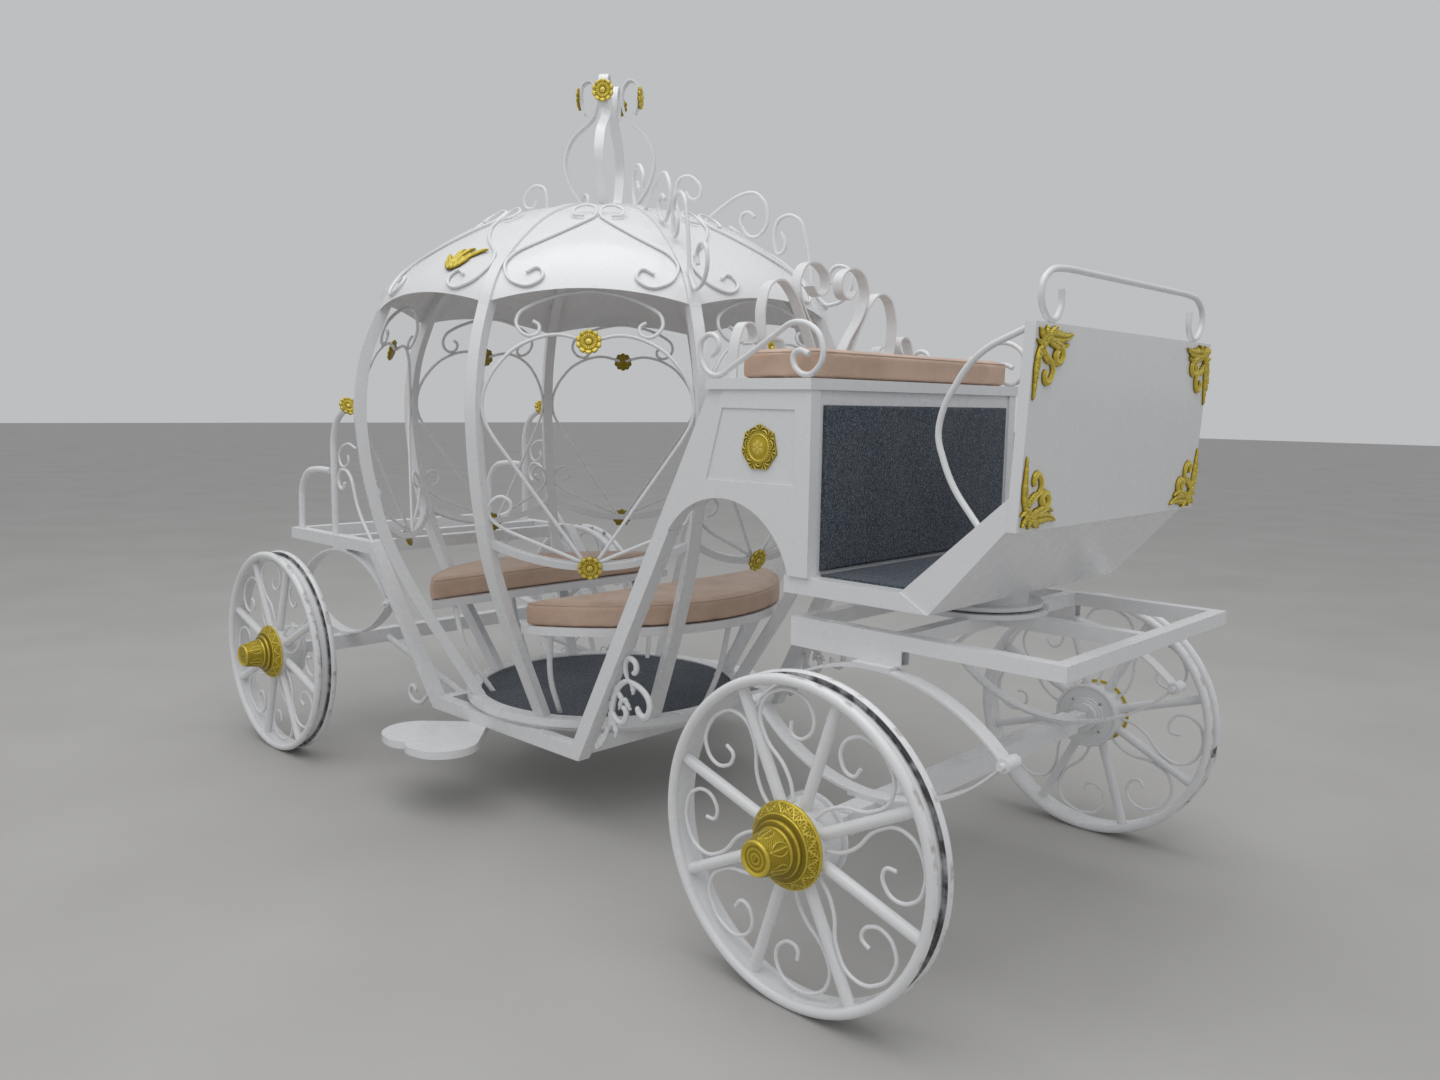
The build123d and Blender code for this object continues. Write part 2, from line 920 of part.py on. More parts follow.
def riser():
    """Front wall of the box, between its side panels."""
    half = box_y - box_wall
    return block(riser_x - riser_t, riser_x, -half, half, box_base_z, seat_top - seat_rim_h)


def driver_floor():
    """Floor slab, cut slantwise where the footboard joins it."""
    corners = [
        (floor_rear_x, floor_bottom),
        (floor_front_x, floor_bottom),
        (foot_tip_x, box_base_z),
        (floor_rear_x, box_base_z),
    ]
    return side_bar(corners, -floor_half_y, floor_half_y)


def dash_rear(z):
    """X of the dash's rear face at a height."""
    lean = (dash_top[0] - dash_bottom[0]) / (dash_top[1] - dash_bottom[1])
    return dash_bottom[0] + (z - dash_bottom[1]) * lean - dash_t


def footboard():
    """Sloping board from the floor up to the dash."""
    corners = [
        (foot_tip_x, box_base_z),
        (floor_front_x, floor_bottom),
        (dash_rear(dash_bottom[1]), dash_bottom[1]),
        (dash_rear(foot_top_z), foot_top_z),
    ]
    return side_bar(corners, -dash_half_y, dash_half_y)


def dash():
    """Upright board in front of the driver's feet."""
    corners = [
        dash_bottom,
        dash_top,
        (dash_top[0] - dash_t, dash_top[1]),
        (dash_bottom[0] - dash_t, dash_bottom[1]),
    ]
    return side_bar(corners, -dash_half_y, dash_half_y)


def driver_carpets():
    """Carpets on the riser, on the floor and up the footboard."""
    half = carpet_half_y
    on_riser = block(riser_x, riser_x + carpet_t, -half, half, 1030, 1481)
    on_floor = block(riser_x + carpet_t + 2, foot_tip_x, -half, half, box_base_z, box_base_z + carpet_t)
    low = (foot_tip_x, box_base_z)
    high = (dash_rear(foot_top_z), foot_top_z)
    slope = hypot(high[0] - low[0], high[1] - low[1])
    lift_x = -(high[1] - low[1]) / slope * carpet_t
    lift_z = (high[0] - low[0]) / slope * carpet_t
    inner = 12 / slope
    start = (low[0] + (high[0] - low[0]) * inner, low[1] + (high[1] - low[1]) * inner)
    end = (high[0] - (high[0] - low[0]) * inner, high[1] - (high[1] - low[1]) * inner)
    lifted = [(end[0] + lift_x, end[1] + lift_z), (start[0] + lift_x, start[1] + lift_z)]
    return [on_riser, on_floor, side_bar([start, end] + lifted, -half, half)]


def driver_cushion():
    """Plain pad on the driver's seat."""
    low = seat_top + seat_gap
    return block(1150, seat_front_x - 4, -525, 525, low, low + driver_cushion_t)


def seat_back():
    """Flat strap scrolls that stand along the rear of the driver's seat."""
    # distance from the middle plane and height, bottom first
    centre = [
        (12, seat_top - end_cut),
        (62, 1670),
        (150, 1770),
        (184, 1850),
        (150, 1914),
        (86, 1926),
        (30, 1890),
        (36, 1834),
        (84, 1818),
        (112, 1850),
    ]
    middle = [
        (52, seat_top - end_cut),
        (96, 1660),
        (150, 1750),
        (196, 1820),
        (250, 1860),
        (312, 1842),
        (342, 1770),
        (332, 1650),
        (286, 1594),
        (238, 1624),
        (250, 1676),
        (288, 1680),
    ]
    outer = [
        (462, seat_top - end_cut),
        (452, 1660),
        (424, 1718),
        (380, 1718),
        (364, 1676),
        (396, 1656),
    ]
    plane_x = seat_rear_x + seat_back_w / 2
    straps = []
    for route in (centre, middle, outer):
        points = [(plane_x, y, z) for y, z in route]
        bar = above(strap(points, strap_t, seat_back_w, (1, 0, 0)), seat_top)
        straps += both_sides(bar)
    return straps


def seat_side_rail():
    """Low scroll rod along the left end of the driver's seat."""
    low = seat_top + rail_r + seat_gap
    route = [
        (1082, 1616),
        (1112, 1637),
        (1101, 1671),
        (1067, 1680),
        (1036, 1659),
        (1033, 1619),
        (1055, 1578),
        (1084, low),
        (1122, low),
        (1160, 1584),
        (1273, 1643),
        (1377, 1702),
        (1430, 1697),
        (1472, 1669),
        (1488, 1624),
        (1481, 1589),
        (1450, low),
        (1416, low),
        (1387, 1583),
        (1382, 1617),
        (1409, 1628),
        (1439, 1614),
    ]
    y = seat_rim_y - rail_r - 2
    return rod([(x, y, z) for x, z in route], rail_r)


def dash_rail():
    """Rail over the dash whose ends curl down onto its top edge."""
    low = dash_top[1] + rail_r + seat_gap
    x = dash_top[0] - dash_t / 2
    # distance in from the dash's end and height
    half = [
        (162, 1807),
        (86, 1800),
        (42, 1768),
        (42, 1718),
        (80, low),
        (120, low),
        (144, 1722),
        (140, 1758),
    ]
    left = [(x, dash_half_y - inward, z) for inward, z in half]
    points = [(x, -y, z) for x, y, z in reversed(left)] + left
    return rod(points, rail_r)


def foot_rail():
    """Arched rod from the dash's rear face down to the footboard, left side."""
    top_z = 1662
    bottom_x = 1951
    slope = (foot_top_z - box_base_z) / (dash_rear(foot_top_z) - foot_tip_x)
    bottom_z = box_base_z + (bottom_x - foot_tip_x) * slope
    away = hypot(1, slope)
    route = [
        (dash_rear(top_z) + dash_t / 2, top_z + 6),
        (1921, 1608),
        (1842, 1485),
        (1826, 1410),
        (1870, 1295),
        (bottom_x + end_cut * slope / away, bottom_z - end_cut / away),
    ]
    bar = rod([(x, dash_half_y - rail_r - 4, z) for x, z in route], rail_r)
    return bar - dash() - footboard()


def dash_corners():
    """Thin leaf plates on the four corners of the dash's front face."""
    rise = Vector(dash_top[0] - dash_bottom[0], 0, dash_top[1] - dash_bottom[1])
    up = rise.normalized()
    out = Vector(up.Z, 0, -up.X)
    # distance in from the side and from the top or bottom edge
    outline = [
        (6, 12),
        (92, 8),
        (178, 16),
        (152, 46),
        (136, 84),
        (98, 92),
        (92, 118),
        (62, 138),
        (36, 122),
        (12, 178),
        (6, 134),
    ]
    plates = []
    for y_side in (-1, 1):
        for (x, z), down in ((dash_top, -up), (dash_bottom, up)):
            corner = Vector(x, y_side * dash_half_y, z)
            points = [corner + Vector(0, -y_side * across, 0) + down * away for across, away in outline]
            face = make_face(Polyline(*points, close=True))
            plates.append(extrude(face, amount=leaf_plate_t, dir=(out.X, 0, out.Z)))
    return plates


# Turntable and front frame


def turntable_upper():
    """Drum and disc under the driver's floor, bored for the kingpin."""
    low = frame_top + turntable_t + running_gap
    rim = low + 12
    outline = [
        (0, floor_bottom - 4),
        (kingpin_r + kingpin_fit, floor_bottom - 4),
        (kingpin_r + kingpin_fit, low),
        (upper_disc_r, low),
        (upper_disc_r, rim),
        (drum_r, rim),
        (drum_r, floor_bottom),
        (0, floor_bottom),
    ]
    corners = [(r, 0, z) for r, z in outline]
    return Pos(steer_x, 0, 0) * revolve(make_face(Polyline(*corners, close=True)), axis=Axis.Z)


def turntable_lower():
    """Disc on the front frame with the kingpin standing on it."""
    disc = Pos(steer_x, 0, frame_top + turntable_t / 2) * Cylinder(turntable_r, turntable_t)
    pin_low = frame_top + turntable_t
    pin_high = floor_bottom - 4 - running_gap
    pin = Pos(steer_x, 0, (pin_low + pin_high) / 2) * Cylinder(kingpin_r, pin_high - pin_low)
    return disc + pin


def front_frame():
    """Square tube frame on the front springs, with open ended lower tubes."""
    low = frame_top - frame_tube
    outer = frame_half_y
    inner = frame_half_y - frame_tube
    bar_x = frame_front_x - frame_tube
    half = frame_tube / 2
    pieces = [
        block(bar_x, frame_front_x, -outer, outer, low, frame_top),
        block(frame_rear_x, frame_rear_x + frame_tube, -inner, inner, low, frame_top),
        block(middle_tube_x - half, middle_tube_x + half, -inner, inner, low, frame_top),
        block(frame_rear_x + frame_tube, middle_tube_x - half, -half, half, low, frame_top),
        block(middle_tube_x + half, bar_x, -half, half, low, frame_top),
    ]
    lower_low = low - lower_tube_h
    rail = block(frame_rear_x, bar_x, inner, outer, low, frame_top)
    tube = block(frame_rear_x, lower_tube_front_x, inner, outer, lower_low, low)
    wall = 4
    mouth = block(
        lower_tube_front_x - 60,
        lower_tube_front_x + 1,
        inner + wall,
        outer - wall,
        lower_low + wall,
        low - wall,
    )
    return pieces + both_sides(rail) + both_sides(tube - mouth)


# Handrails


def handrail():
    """Grab rails on the left platform beam: low hoop, tall post and two thin scrolls."""
    y = cradle_y - cradle_w / 2 - 3
    top = platform_top
    low_hoop = [
        (-1572, top - end_cut),
        (-1563, 1075),
        (-1500, 1150),
        (-1390, 1164),
        (-1252 - 2 * post_r - seat_gap, 1161),
    ]
    tall_post = [(-1252, top - end_cut), (-1250, 1310), (-1207, 1395), (-1108, 1445)]
    thin_bar = [
        (-915, top - end_cut),
        (-1008, 958),
        (-1056, 1030),
        (-1090, 1128),
        (-1132, 1172),
        (-1192, 1172),
        (-1214, 1128),
        (-1196, 1088),
        (-1166, 1086),
        (-1154, 1116),
    ]
    thin_r = scroll_rod_r + 2
    curl_low = 1172 + thin_r + scroll_rod_r + seat_gap
    upper_curl = [
        (-1050, 1266),
        (-1112, 1290),
        (-1172, 1274),
        (-1202, 1238),
        (-1196, 1204),
        (-1177, curl_low),
        (-1147, curl_low),
        (-1112, 1206),
        (-1122, 1236),
    ]
    routes = (
        (low_hoop, post_r),
        (tall_post, post_r),
        (thin_bar, thin_r),
        (upper_curl, scroll_rod_r),
    )
    return [above(rod([(x, y, z) for x, z in route], r), top) for route, r in routes]


# Writing the nodes

os.makedirs("parts", exist_ok=True)

right_wheel = wheel()
right_cap = hub_cap()
corners = {
    "front_right": (front_axle_x, -1),
    "front_left": (front_axle_x, 1),
    "rear_right": (rear_axle_x, -1),
    "rear_left": (rear_axle_x, 1),
}
for name, (x, side) in corners.items():
    spot = Pos(x, side * wheel_mid_y, axle_z) * Rot(0, 0, 0 if side < 0 else 180)
    save(f"wheel_{name}", [spot * solid for solid in solids_of(right_wheel)])
    save(f"hub_cap_{name}", spot * right_cap)

save("axle_front", axle(front_axle_x))
save("axle_rear", [axle(rear_axle_x), axle_stays()])
save("springs_front", both_sides(spring(front_axle_x, frame_top - frame_tube - lower_tube_h)))
save("springs_rear", both_sides(spring(rear_axle_x, platform_top - platform_h)))
left_cradle = cradle_side()
save("cradle_left", left_cradle)
save("cradle_right", [mirror(bar, about=Plane.XZ) for bar in left_cradle])
save("cradle_crossbars", cradle_crossbars())
rib_sides = ribs()
save("ribs_left", rib_sides["left"])
save("ribs_right", rib_sides["right"])
panel = dome_panel()
save("dome_panels", [Rot(0, 0, i * 360 / rib_count) * panel for i in range(rib_count)])
save("crown", crown())
save("cage_floor", cage_floor())
save("cage_carpet", cage_carpet())
for name, chord_x in (("rear", rear_bench_x), ("front", front_bench_x)):
    save(f"bench_frame_{name}", bench_frame(chord_x))
    save(f"bench_cushion_{name}", bench_cushion(chord_x))

bay = grille()
bays = {
    "front": 0,
    "front_left": 45,
    "rear_left": 135,
    "rear": 180,
    "rear_right": 225,
    "front_right": 315,
}
rosettes = []
for name, azimuth in bays.items():
    save(f"grille_{name}", turned([bay], azimuth))
    rosettes += turned(bay_rosettes(), azimuth)
save("dome_scrolls", dome_scrolls())
save("crest_scrolls", crest_scrolls())
save("finial", finial())
plates = [rosettes, finial_rosettes(), both_sides(medallion()), dash_corners()]
save("gilt_plates", plates)

right_step = step()
save("step_right", right_step)
save("step_left", mirror(right_step, about=Plane.XZ))
left_panel = box_panel()
save("box_panel_left", left_panel)
save("box_panel_right", mirror(left_panel, about=Plane.XZ))
save("seat_tray", seat_tray())
save("box_riser", riser())
save("driver_floor", driver_floor())
save("footboard", footboard())
save("dash", dash())
save("driver_carpets", driver_carpets())
save("driver_cushion", driver_cushion())
save("seat_back", seat_back())
save("seat_side_rails", both_sides(seat_side_rail()))
save("dash_rails", [dash_rail(), both_sides(foot_rail())])

save("turntable_upper", turntable_upper())
save("turntable_lower", turntable_lower())
save("front_frame", front_frame())
left_rail = handrail()
save("handrail_left", left_rail)
save("handrail_right", [mirror(bar, about=Plane.XZ) for bar in left_rail])
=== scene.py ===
import math

import bmesh
import bpy
from mathutils import Matrix, Vector, noise
from mathutils.bvhtree import BVHTree
from mathutils.geometry import interpolate_bezier


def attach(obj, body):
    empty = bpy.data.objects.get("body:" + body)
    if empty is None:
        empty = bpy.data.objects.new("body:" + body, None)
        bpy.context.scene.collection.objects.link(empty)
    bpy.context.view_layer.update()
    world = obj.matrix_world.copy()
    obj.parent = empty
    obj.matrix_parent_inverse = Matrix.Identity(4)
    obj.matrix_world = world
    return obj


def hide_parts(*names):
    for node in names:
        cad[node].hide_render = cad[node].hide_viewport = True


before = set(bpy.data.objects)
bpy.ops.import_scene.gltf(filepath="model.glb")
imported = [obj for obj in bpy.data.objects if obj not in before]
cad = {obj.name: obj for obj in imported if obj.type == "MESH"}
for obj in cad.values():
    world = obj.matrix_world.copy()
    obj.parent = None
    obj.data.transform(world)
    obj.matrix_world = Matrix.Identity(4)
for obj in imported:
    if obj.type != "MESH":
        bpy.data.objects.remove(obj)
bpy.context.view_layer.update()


# Wheels. Welded steel: a rim of two round tubes with a band between them, straight tube spokes,
# thin bent scrolls and a drum hub, sprayed in white gloss. The channel between the two rim
# tubes has painted shade along its crease by the inboard tube and dark chips by the outboard one,
# the hub flange has its bolt holes painted dark as shade, and dust sits low on the spokes.

wheel_mid = 0.820
axle_height = 0.420
front_axle = 1.665 - 0.284
rear_axle = -1.165 - 0.284
channel_floor_r = 0.4025
channel_half = 0.0195
tread_r = 0.420
flange_face = 0.062
bolt_r = 0.0055
bolt_reach = 0.0495
white = (0.82, 0.825, 0.835, 1)
white_shade = (0.807, 0.812, 0.824, 1)
dust = (0.46, 0.42, 0.36, 1)
# near-black: painted shade in the rim channel's crease and in the bolt holes, and the colour of
# dark chips at the channel's lip
shade_and_chip_dark = (0.045, 0.045, 0.048, 1)
scrape = (0.33, 0.27, 0.21, 1)
patchy_dust = 0.022
lying_dust = 0.025
edge_softness = 0.0014


def add(tree, kind, sockets, **settings):
    """New shader node with its settings and sockets filled in."""
    node = tree.nodes.new("ShaderNode" + kind)
    for name, value in settings.items():
        setattr(node, name, value)
    for name, value in sockets.items():
        if isinstance(value, bpy.types.NodeSocket):
            tree.links.new(value, node.inputs[name])
        else:
            node.inputs[name].default_value = value
    return node


def mixed(tree, share, first, second):
    """Colour that goes from first to second with a share."""
    return add(tree, "Mix", {0: share, 6: first, 7: second}, data_type="RGBA").outputs[2]


def spread(tree, value, low, high, to_low, to_high):
    """Value mapped from one range to another, kept inside it."""
    sockets = {"Value": value, "From Min": low, "From Max": high}
    sockets.update({"To Min": to_low, "To Max": to_high})
    return add(tree, "MapRange", sockets).outputs[0]


def sum_of(tree, operation, first, second):
    """Arithmetic on two values."""
    return add(tree, "Math", {0: first, 1: second}, operation=operation).outputs[0]


def times(tree, first, second):
    """One value multiplied by another."""
    return sum_of(tree, "MULTIPLY", first, second)


def cloud(tree, place, scale, detail=3.0):
    """Soft noise on the object's own coordinates."""
    return add(tree, "TexNoise", {"Vector": place, "Scale": scale, "Detail": detail}).outputs[0]


def start(name):
    """New material, with its tree, its shader and its object coordinates."""
    material = bpy.data.materials.new(name)
    material.use_nodes = True
    tree = material.node_tree
    place = add(tree, "TexCoord", {}).outputs["Object"]
    return material, tree, tree.nodes["Principled BSDF"], place


def wheel_marks(tree, place, colour, axle):
    """Wheel paint: tread scrapes, painted shade in the channel's crease, chips at its lip, bolt
    holes painted as shade.
    """
    moved = add(tree, "Mapping", {"Vector": place, "Location": [-c for c in axle]}).outputs[0]
    parts = add(tree, "SeparateXYZ", {0: moved}).outputs
    flat = add(tree, "CombineXYZ", {0: parts[0], 2: parts[2]}).outputs[0]
    reach = add(tree, "VectorMath", {0: flat}, operation="LENGTH").outputs["Value"]
    outward = times(tree, parts[1], math.copysign(1, axle[1]))
    on_floor = spread(tree, reach, channel_floor_r - 0.004, channel_floor_r - 0.003, 0, 1)
    crease = spread(tree, outward, -channel_half + 0.013, -channel_half + 0.002, 0, 1)
    patchiness = spread(tree, cloud(tree, place, 20.0, 5.0), 0.3, 0.55, 0.35, 1)
    inner_end = spread(tree, outward, -channel_half - 0.0004, -channel_half, 0, 1)
    lip = spread(tree, outward, channel_half - 0.004, channel_half - 0.001, 0, 1)
    chips = spread(tree, cloud(tree, place, 13.0, 6.0), 0.55, 0.6, 0, 0.9)
    inside = spread(tree, outward, channel_half + 0.0035, channel_half + 0.0055, 1, 0)
    # painted shade along the channel's crease by the inboard tube, broken up by noise, joined by
    # dark chips by the outboard tube
    crease_shade_and_chips = times(tree, times(tree, crease, patchiness), inner_end)
    crease_shade_and_chips = sum_of(tree, "MAXIMUM", crease_shade_and_chips, times(tree, lip, chips))
    crease_shade_and_chips = times(tree, times(tree, crease_shade_and_chips, on_floor), inside)
    tread = spread(tree, reach, tread_r - 0.0035, tread_r - 0.001, 0, 1)
    scrapes = spread(tree, cloud(tree, place, 21.0, 6.0), 0.53, 0.66, 0, 0.6)
    colour = mixed(tree, times(tree, tread, scrapes), colour, scrape)
    colour = mixed(tree, crease_shade_and_chips, colour, shade_and_chip_dark)
    # painted shade: dark discs on the flat flange where its four bolt holes are
    folded = add(tree, "VectorMath", {0: flat}, operation="ABSOLUTE").outputs[0]
    to_hole = {0: folded, 1: (bolt_reach, 0, bolt_reach)}
    aside = add(tree, "VectorMath", to_hole, operation="DISTANCE").outputs["Value"]
    hole = spread(tree, aside, bolt_r, bolt_r + 0.0004, 1, 0)
    on_flange = spread(tree, outward, -flange_face - 0.0005, -flange_face + 0.0005, 1, 0)
    return mixed(tree, times(tree, hole, on_flange), colour, shade_and_chip_dark)


def gloss_paint(name, axle=None):
    """Sprayed white gloss on welded steel, with fine orange peel, dust and softened edges."""
    material, tree, shader, place = start(name)
    tint = spread(tree, cloud(tree, place, 4.0), 0.35, 0.7, 0, 1)
    colour = mixed(tree, tint, white, white_shade)
    height = add(tree, "SeparateXYZ", {0: place}).outputs[2]
    patches = spread(tree, cloud(tree, place, 16.0, 3.0), 0.48, 0.72, 0, 1)
    low_down = spread(tree, height, 0.0, 0.9, 1, 0.12)
    dusty = times(tree, times(tree, patches, low_down), patchy_dust)
    facing = add(tree, "NewGeometry", {}).outputs["Normal"]
    upward = add(tree, "SeparateXYZ", {0: facing}).outputs[2]
    lying = times(tree, spread(tree, upward, 0.6, 1.0, 0, 1), lying_dust)
    drifts = spread(tree, cloud(tree, place, 7.0, 5.0), 0.4, 0.7, 0, 1)
    lying = times(tree, lying, drifts)
    colour = mixed(tree, sum_of(tree, "ADD", dusty, lying), colour, dust)
    if axle is not None:
        colour = wheel_marks(tree, place, colour, axle)
    tree.links.new(colour, shader.inputs["Base Color"])
    rough = spread(tree, cloud(tree, place, 11.0), 0.3, 0.7, 0.24, 0.31)
    tree.links.new(rough, shader.inputs["Roughness"])
    shader.inputs["Coat Weight"].default_value = 0.35
    shader.inputs["Coat Roughness"].default_value = 0.12
    soft_edge = add(tree, "Bevel", {"Radius": edge_softness}, samples=4).outputs[0]
    peel = cloud(tree, place, 230.0, 1.0)
    waves = times(tree, cloud(tree, place, 26.0, 2.0), 0.15)
    bump = {"Height": sum_of(tree, "ADD", peel, waves), "Normal": soft_edge}
    bump.update({"Strength": 0.07, "Distance": 0.0006})
    tree.links.new(add(tree, "Bump", bump).outputs[0], shader.inputs["Normal"])
    return material


def wear(material, *names):
    """Give CAD nodes a finish."""
    for name in names:
        mesh = cad[name].data
        mesh.materials.clear()
        mesh.materials.append(material)


wheels = {
    "front_right": (front_axle, -1),
    "front_left": (front_axle, 1),
    "rear_right": (rear_axle, -1),
    "rear_left": (rear_axle, 1),
}
for name, (x, side) in wheels.items():
    centre = (x, side * wheel_mid, axle_height)
    wear(gloss_paint(f"wheel paint {name}", axle=centre), f"wheel_{name}")


# Hub caps. Thin pressed caps in gold paint, stepped from a wide embossed skirt to a round nose,
# each pushed over its hub and held by one screw in the middle of the nose.

# the darkest gold is painted shade for hollows and also the colour of dark specks, the lightest a
# painted highlight for ridges
gold_deep = (0.15, 0.105, 0.004, 1)
gold_mid = (0.62, 0.46, 0.03, 1)
gold_highlight = (0.88, 0.73, 0.16, 1)
cap_face = wheel_mid + 0.038
cap_steps = 240
cap_cell = 0.0017
cap_front = 19
cap_outline = [
    (0, 0.121), (0.006, 0.121), (0.008, 0.117), (0.034, 0.1165), (0.037, 0.119),
    (0.041, 0.1215), (0.0438, 0.118), (0.0565, 0.052), (0.059, 0.047), (0.066, 0.0455),
    (0.070, 0.042), (0.0715, 0.037), (0.070, 0.0325), (0.079, 0.0315), (0.084, 0.029),
    (0.0865, 0.0255), (0.106, 0.0075), (0.110, 0.004), (0.110, 0), (0.043, 0),
    (0.043, 0.060), (0, 0.060),
]
skirt_leaves = 14
skirt_low, skirt_high, skirt_depth = 0.0075, 0.0255, 0.018
skirt_relief = 0.0021
nose_leaves = 6
nose_low, nose_high, nose_depth = 0.054, 0.114, 0.060
nose_relief = 0.0019


def gold_paint(name):
    """Gold paint with painted shade in the hollows of the embossing and painted highlights on its
    ridges.
    """
    material, tree, shader, place = start(name)
    relief_shading = add(tree, "Attribute", {}, attribute_name="relief_shading").outputs["Fac"]
    # painted shade in the hollows and painted highlight on the ridges, read from the shading kept
    # on each vertex
    colour = mixed(tree, spread(tree, relief_shading, 0.0, 0.5, 0, 1), gold_deep, gold_mid)
    colour = mixed(tree, spread(tree, relief_shading, 0.5, 1.0, 0, 1), colour, gold_highlight)
    speck = spread(tree, cloud(tree, place, 120.0, 5.0), 0.45, 0.75, 0, 0.25)
    colour = mixed(tree, speck, colour, gold_deep)
    tree.links.new(colour, shader.inputs["Base Color"])
    rough = spread(tree, cloud(tree, place, 60.0), 0.3, 0.7, 0.30, 0.48)
    tree.links.new(rough, shader.inputs["Roughness"])
    shader.inputs["Metallic"].default_value = 0.45
    bump = {"Height": cloud(tree, place, 420.0, 3.0), "Strength": 0.25, "Distance": 0.0006}
    tree.links.new(add(tree, "Bump", bump).outputs[0], shader.inputs["Normal"])
    return material


def turned_shell(outline, steps, cell, front):
    """Outline of (radius, height) spun about Z, its first runs, up to front, cut into cells."""
    shape = bmesh.new()
    corner = Vector((outline[0][0], 0, outline[0][1]))
    last = shape.verts.new(corner)
    for number, (r, z) in enumerate(outline[1:], 1):
        run = Vector((r, 0, z)) - corner
        cells = int(run.length / cell) + 1 if number <= front else 1
        for step in range(cells):
            vert = shape.verts.new(corner + run * (step + 1) / cells)
            shape.edges.new((last, vert))
            last = vert
        corner += run
    line = shape.verts[:] + shape.edges[:]
    bmesh.ops.spin(shape, geom=line, axis=(0, 0, 1), angle=math.tau, steps=steps, use_merge=True)
    bmesh.ops.remove_doubles(shape, verts=shape.verts, dist=1e-6)
    bmesh.ops.recalc_face_normals(shape, faces=shape.faces)
    return shape


def ridge(distance, width):
    """Height of a rounded ridge, 1 on its line and 0 beyond its width."""
    return max(0.0, 1 - (distance / width) ** 2)


def emboss(shape, height):
    """Push every vertex along its normal by the first value of height(angle, radius, z), and keep
    the second on it as painted shade and highlight.
    """
    layer = shape.verts.layers.float.new("relief_shading")
    shape.normal_update()
    moves = []
    for vert in shape.verts:
        x, y, z = vert.co
        push, tone = height(math.atan2(y, x), math.hypot(x, y), z)
        vert[layer] = tone
        moves.append((vert, vert.normal * push))
    for vert, move in moves:
        vert.co += move


def in_scene(name, data):
    """New object that holds a mesh, a curve, a lamp or a camera."""
    made = bpy.data.objects.new(name, data)
    bpy.context.scene.collection.objects.link(made)
    return made


def piece(name, shape, body, material, places):
    """Object of a bmesh, repeated at its places, that rides on a body."""
    mesh = bpy.data.meshes.new(name)
    whole = bmesh.new()
    for place in places:
        shape.to_mesh(mesh)
        mesh.transform(place)
        if place.determinant() < 0:
            mesh.flip_normals()
        whole.from_mesh(mesh)
    for face in whole.faces:
        face.smooth = True
    whole.to_mesh(mesh)
    whole.free()
    mesh.materials.append(material)
    made = in_scene(name, mesh)
    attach(made, body)
    return made


def cap_relief(angle, r, z):
    """Fans of leaves in a zigzag on the skirt and pointed leaves round the nose."""
    # besides its push each branch returns painted shading: dark in hollows and grooves, light on
    # ridges
    if skirt_low < z < skirt_high and r > 0.08:
        up = (z - skirt_low) / skirt_depth
        turn = angle * skirt_leaves / math.tau % 1
        zigzag = 1 - abs(2 * turn - 1)
        line = ridge(abs(up - zigzag) * 17, 1.9)
        foot = up if up < zigzag else 1 - up
        aside = turn - 0.5 if up < zigzag else turn - round(turn)
        fan = math.cos(math.atan2(foot * 27, aside * 43) * 11)
        height = max(line, 0.75 * max(0, fan)) * min(1, 10 * min(up, 1 - up) + 0.2)
        return skirt_relief * height, 0.12 + 0.88 * height
    if nose_low < z < nose_high and r > 0.043:
        up = (z - nose_low) / nose_depth
        across = (angle * nose_leaves / math.tau % 1 - 0.5) * 50
        half = 15 * math.sin(math.pi * min(1, up * 1.08) ** 0.8) + 0.1
        inside = abs(across) / half
        if inside < 1.1:
            vein = ridge(abs(across), 1.6)
            side = 0.7 * max(0, math.cos((up * 60 - abs(across) * 1.1) * math.tau / 6.5))
            height = max(ridge(abs(inside - 1) * half, 1.7), vein, side * (1 - inside))
        else:
            height = 0.55 * max(0, math.cos((up * 60 + abs(across) * 0.8) * math.tau / 6))
        height *= min(1, 12 * min(up, 1 - up))
        return nose_relief * height, 0.12 + 0.88 * height
    if z > 0.1155 and r < 0.034:
        height = 0.5 + 0.5 * math.cos(r * math.tau / 0.012)
        return 0.0006 * height, 0.15 + 0.4 * height
    # the grooves between the cap's steps are painted dark as shade
    groove = 0.12 if 0.029 < z < 0.034 or 0.0425 < z < 0.049 else 0.62
    return 0, groove


cap = turned_shell(cap_outline, cap_steps, cap_cell, cap_front)
emboss(cap, cap_relief)
gold = gold_paint("gold paint")
for name, (x, side) in wheels.items():
    outward = Matrix.Rotation(math.radians(-90 * side), 4, "X")
    place = Matrix.Translation((x, side * cap_face, axle_height)) @ outward
    gilt_cap = piece(f"gilt_cap_{name}", cap, f"{name}_wheel", gold, [place])
    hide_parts(f"hub_cap_{name}")


# Hub seals. On each hub's inner flange lie a rolled ring at its rim and a ridged seal round the
# boss, both sprayed over with the wheel.

rim_ring = [(0.098, 0), (0.0995, 0.002), (0.104, 0.003), (0.108, 0.002), (0.1098, 0), (0.098, 0)]
boss_seal = [
    (0.0502, 0.010), (0.0535, 0.0105), (0.056, 0.0085), (0.0565, 0.005), (0.059, 0.0045),
    (0.0605, 0.006), (0.063, 0.0055), (0.0645, 0.003), (0.066, 0), (0.0502, 0),
    (0.0502, 0.010),
]
seal_steps = 96
seal_cell = 0.002

